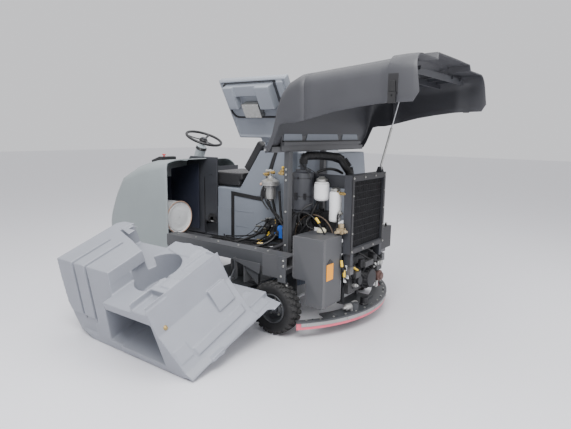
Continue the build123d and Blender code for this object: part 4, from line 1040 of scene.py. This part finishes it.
cables("yellow_tags", [
    [(-196, 430, 868), (-212, 430, 852), (-226, 430, 834)],
    [(530, 264, 557), (505, 285, 565), (486, 300, 574)],
    [(420, 300, 620), (408, 290, 636), (398, 282, 650)],
    [(-392, 330, 480), (-396, 332, 455), (-399, 334, 430)],
    [(-392, 180, 470), (-400, 160, 455), (-408, 140, 438)],
    [(-380, 352, 560), (-384, 354, 535), (-388, 354, 512)],
], 10.5, "yellow")
cables("rear_hoses", [
    [(-350, 352, 640), (-372, 354, 580), (-390, 350, 500), (-400, 320, 420), (-392, 280, 360)],
    [(-372, 220, 560), (-392, 190, 480), (-412, 130, 430), (-420, 60, 380)],
    [(-372, 260, 590), (-395, 270, 500), (-400, 230, 420), (-410, 160, 370)],
    [(-340, 358, 600), (-384, 340, 540), (-402, 290, 460), (-404, 240, 400)],
    [(-372, 60, 560), (-420, 20, 520), (-440, -80, 470), (-420, -160, 400)],
    [(-360, -60, 590), (-420, -100, 540), (-450, -190, 480), (-430, -240, 420)],
], 8, "rubber")

# reservoir
lid_cap = Form()
lid_cap.lathe((-230, 400, 762.5), Z, [(33, 0), (34, 4), (34, 18), (30, 22), (26, 23), (26, 29), (18, 30)], 36)
for k in range(16):
    a = 2 * math.pi * k / 16
    lid_cap.lathe((-230 + 33 * math.cos(a), 400 + 33 * math.sin(a), 763), Z, [(2.6, 0), (2.6, 18)], 8)
lid_cap.make("reservoir_cap_body", "cream", "reservoir_cap", 0.6, replaces=("reservoir_cap",),
    slot="cream_plastic")
trim = Form()
trim.box(-371.5, -370.2, 560, 590, 244, 748)
trim.prism([(-112, 440), (-104, 440), (-104, 748), (-112, 748)], 575, 592)
trim.make("reservoir_seams", "reservoir", "machine", 1)
plate = Form()
plate.box(-373.5, -370.5, 455, 545, 440, 560)
plate.make("amber_plate", "amber", "machine", 0.6)
plate = Form()
plate.prism([(455, 566), (545, 566), (500, 598)], -373.5, -370.5, "x")
plate.make("dark_triangle", "black", "machine", 0.4)
valve_block = Form()
valve_block.box(-392, -340, 318, 372, 760, 800)
valve_block.lathe((-366, 345, 800), Z, [(20, 0), (22, 10), (22, 30), (12, 36)], 12)
valve_block.lathe((-366, 372, 780), Y, [(14, 0), (14, 30), (10, 32), (10, 60)], 12)
valve_block.lathe((-392, 345, 778), (-1, 0, 0), [(16, 0), (16, 14), (10, 16), (10, 26)], 6)
valve_block.make("tan_valve_block", "tan", "machine", 3)

# battery, pumps
terminals = Form()
for y in (-520, -380):
    terminals.lathe((-330, y, 708), Z, [(12, 0), (12, 8), (6, 10)], 16)
terminals.make("battery_clamps", "zinc", "machine", 0.8)
pumps = Form()
pumps.box(-380, -345, -230, 230, 262, 440)
pumps.lathe((-380, -30, 345), (-1, 0, 0), [(88, 0), (88, 20), (78, 24), (72, 40), (70, 60), (74, 62),
    (74, 72), (60, 74)], 44)
for k in range(12):
    a = 2 * math.pi * k / 12
    pumps.box(-440, -400, -30 + 74 * math.cos(a) - 5, -30 + 74 * math.cos(a) + 5,
              345 + 74 * math.sin(a) - 5, 345 + 74 * math.sin(a) + 5)
pumps.lathe((-380, 130, 360), (-1, 0, 0), [(44, 0), (44, 22), (36, 30), (36, 52), (20, 54)], 32)
pumps.box(-430, -375, 120, 200, 390, 440)
pumps.box(-440, -380, -230, -140, 380, 470)
pumps.lathe((-400, 60, 450), Z, [(26, 0), (26, 60), (18, 66)], 24)
pumps.lathe((-420, -120, 470), Z, [(22, 0), (22, 50), (14, 56)], 24)
pumps.box(-445, -375, -60, 80, 455, 500)
for y, z in ((-95, 400), (35, 400), (-95, 290), (35, 290), (160, 300), (100, 420)):
    pumps.bolt((-381, y, z), (-1, 0, 0), 10)
pumps.box(-345, -330, -60, 60, 300, 400)
pumps.make("rear_pump_castings", "cast", "machine", 3, replaces=("rear_pump",), slot="cast_metal")
drum = Form()
drum.lathe((-380, -185, 330), (-1, 0, 0), [(46, 0), (46, 40), (40, 46), (46, 52), (46, 70), (30, 74),
    (30, 88), (12, 90)], 36)
drum.make("brown_pulley", "rust", "machine", 1.5)
silver = Form()
silver.lathe((-400, -120, 420), (-0.4, -1, 0.4), [(26, 0), (26, 66), (20, 72), (10, 74)], 28)
silver.lathe((-440, -190, 440), (-1, 0, 0), [(18, -20), (22, 0), (22, 18), (12, 20)], 24)
silver.box(-452, -442, -150, -110, 250, 300)
silver.lathe((-400, 190, 330), (-1, 0.3, 0.2), [(14, 0), (14, 34), (9, 36), (9, 50)], 16)
silver.make("silver_fittings", "alloy", "machine", 1.5)
blocks = Form()
for y, z, tall in ((290, 470, 40), (262, 400, 56), (236, 430, 40), (300, 380, 44), (210, 470, 34)):
    blocks.box(-400, -382, y, y + 14, z, z + tall)
blocks.make("terminal_blocks", "white", "machine", 1.5)

# ------------------------------------------------------------------ squeegee


def arc(inner, outer, half, z0, z1, name, material, bevel=0.5, steps=60):
    """Curved band of the squeegee about its centre."""
    band = Form()
    rings = []
    for k in range(steps + 1):
        a = math.radians(180 - half + 2 * half * k / steps)
        c, s = math.cos(a), math.sin(a)
        rings.append([M(ARC_X + r * c, r * s, z)
                      for r, z in ((inner, z0), (outer, z0), (outer, z1), (inner, z1))])
    band.ring_faces(rings)
    return band.make(name, material, "squeegee", bevel)


arc(ARC_R - 4.8, ARC_R, 41.5, 102, 130, "squeegee_strip", "strip")
screws = Form()
for k in range(13):
    a = math.radians(180 - 39 + 78 * k / 12)
    screws.bolt((ARC_X + ARC_R * math.cos(a), ARC_R * math.sin(a), 116), (math.cos(a), math.sin(a), 0), 5)
    screws.bolt((ARC_X + (ARC_R - 26) * math.cos(a), (ARC_R - 26) * math.sin(a), 142), Z, 7)
screws.make("squeegee_bolts", "zinc", "squeegee")
solenoid = Form()
for y, way in ((238, (0.2, 1, 0)), (150, (0.1, 1, 0))):
    solenoid.lathe((-410, y, 178), way, [(10, -10), (22, 0), (24, 6), (24, 52), (18, 56), (10, 60),
        (10, 84)], 28)
    solenoid.box(-430, -388, y - 8, y + 10, 143, 178)
solenoid.make("squeegee_solenoids", "alloy", "squeegee", 1.5)
suction = Form()
suction.lathe((-425, 40, 142), Z, [(36, 0), (38, 8), (32, 14), (31, 60)], 30)
suction.make("suction_socket", "black", "squeegee", 1)

# ------------------------------------------------------------------ gas strut

strut = Form()
FOOT = Vector((-400, -200, 1215))
ALONG = (Vector((-560, -200, 1850)) - FOOT).normalized()
strut.lathe(tuple(FOOT), ALONG, [(6, 14), (6, 22), (9, 25), (9, 334), (7, 336)], 20)
strut.lathe(tuple(FOOT - Y * 7), Y, [(17, 0), (17, 14)], 24)
strut.make("strut_tube", "zinc", "strut_cylinder", 0.8, replaces=("strut_cylinder",), slot="frame_paint")

# ------------------------------------------------------------------ details of the side tank

fitting = Form(TIPPED)
fitting.lathe((118, 430, 1230), (-1, 0.25, 0), [(16, -6), (16, 4), (12, 6), (12, 14)], 20)
fitting.make("tank_fitting", "brass", "side_tank", 1)
badge = Form(TIPPED)
badge.prism([(76, 520), (80, 522), (57, 598), (53, 596)], 1090, 1165, "z")
badge.make("tank_blank_label", "label", "side_tank", 0.6)

# ------------------------------------------------------------------ CAD nodes that keep their shape

# node, material, width of the broken edges and, if not two, their segments
for row in (
    ("control_pod", "black", 5, 3),
    ("footwell_side_panel", "dark", 4, 3),
    ("footwell_tub", "dark", 2.5),
    ("seat_frame", "frame", 2),
    ("tank_gasket", "rubber", 2.5, 3),
    ("strainer_box", "zinc", 4, 3),
    ("bulkhead_panels", "panel", 2, 2),
    ("chassis_frame", "frame", 2.5),
    ("front_fork", "frame", 4),
    ("scrub_deck", "frame", 3),
    ("engine_block", "cast", 7, 3),
    ("radiator_frame", "dark", 3.5, 3),
    ("hydraulic_reservoir", "reservoir", 5, 3),
    ("battery", "black", 5),
    ("squeegee_frame", "frame", 1.2),
):
    eased(*row)
REPAINTED = {
    "dark": ("horn_button",),
    "rubber": ("lid_gasket", "engine_mounts", "drive_belt", "intake_hose"),
    "steel": ("rear_axle", "hinge_pins", "strut_rod"),
    "tyre": ("front_wheel",),
    "alloy": ("alternator",),
    "black": ("engine_fan",),
    "fins": ("radiator_core",),
    "blade": ("squeegee_blade",),
}
for material, nodes in REPAINTED.items():
    for node in nodes:
        repaint(node, material)
for left_over in sorted(frame["nodes"]):
    node = frame["nodes"][left_over]
    if not node.hide_render and not node.data.materials:
        repaint(left_over, "frame")

# ------------------------------------------------------------------ floor, light and camera

floor = bpy.data.materials.new("pale_floor")
floor.use_nodes = True
shade = floor.node_tree.nodes["Principled BSDF"]
shade.inputs["Base Color"].default_value = (0.76, 0.76, 0.80, 1)
shade.inputs["Roughness"].default_value = 0.32
bpy.ops.mesh.primitive_plane_add(size=60, location=(0, 0, -0.0005))
ground = bpy.context.object
ground.name = "floor"
ground.data.materials.append(floor)
ground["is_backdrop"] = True

world = bpy.data.worlds.new("studio")
bpy.context.scene.world = world
world.use_nodes = True
world.node_tree.nodes["Background"].inputs["Color"].default_value = (0.93, 0.93, 0.96, 1)
world.node_tree.nodes["Background"].inputs["Strength"].default_value = 0.95


def lamp(name, place, aim, size, power):
    """Soft area light."""
    data = bpy.data.lights.new(name, "AREA")
    data.size = size
    data.energy = power
    light = bpy.data.objects.new(name, data)
    bpy.context.scene.collection.objects.link(light)
    light.location = M(*place)
    light.rotation_euler = (M(*aim) - light.location).to_track_quat("-Z", "Y").to_euler()


lamp("key", (-1500, 3500, 4600), (300, 300, 700), 2.6, 330)
lamp("fill", (-4800, -500, 3200), (-300, 0, 800), 3.0, 110)
lamp("top", (800, 0, 5200), (300, 0, 600), 5.0, 180)

EYE = (-2121, 3464, 1500)
AHEAD = Vector((0.5795, -0.7977, -0.1670)).normalized()
ROLL = math.radians(0.8)
camera_data = bpy.data.cameras.new("camera")
camera_data.sensor_width = 36
camera_data.lens = 36 * 490 / 571
camera = bpy.data.objects.new("camera", camera_data)
bpy.context.scene.collection.objects.link(camera)
level_right = AHEAD.cross(Z).normalized()
level_up = level_right.cross(AHEAD)
right = level_right * math.cos(ROLL) + level_up * math.sin(ROLL)
up = level_up * math.cos(ROLL) - level_right * math.sin(ROLL)
turn = Matrix((right, up, -AHEAD)).transposed().to_4x4()
camera.matrix_world = Matrix.Translation(M(*EYE)) @ turn
bpy.context.scene.camera = camera

low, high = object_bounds()
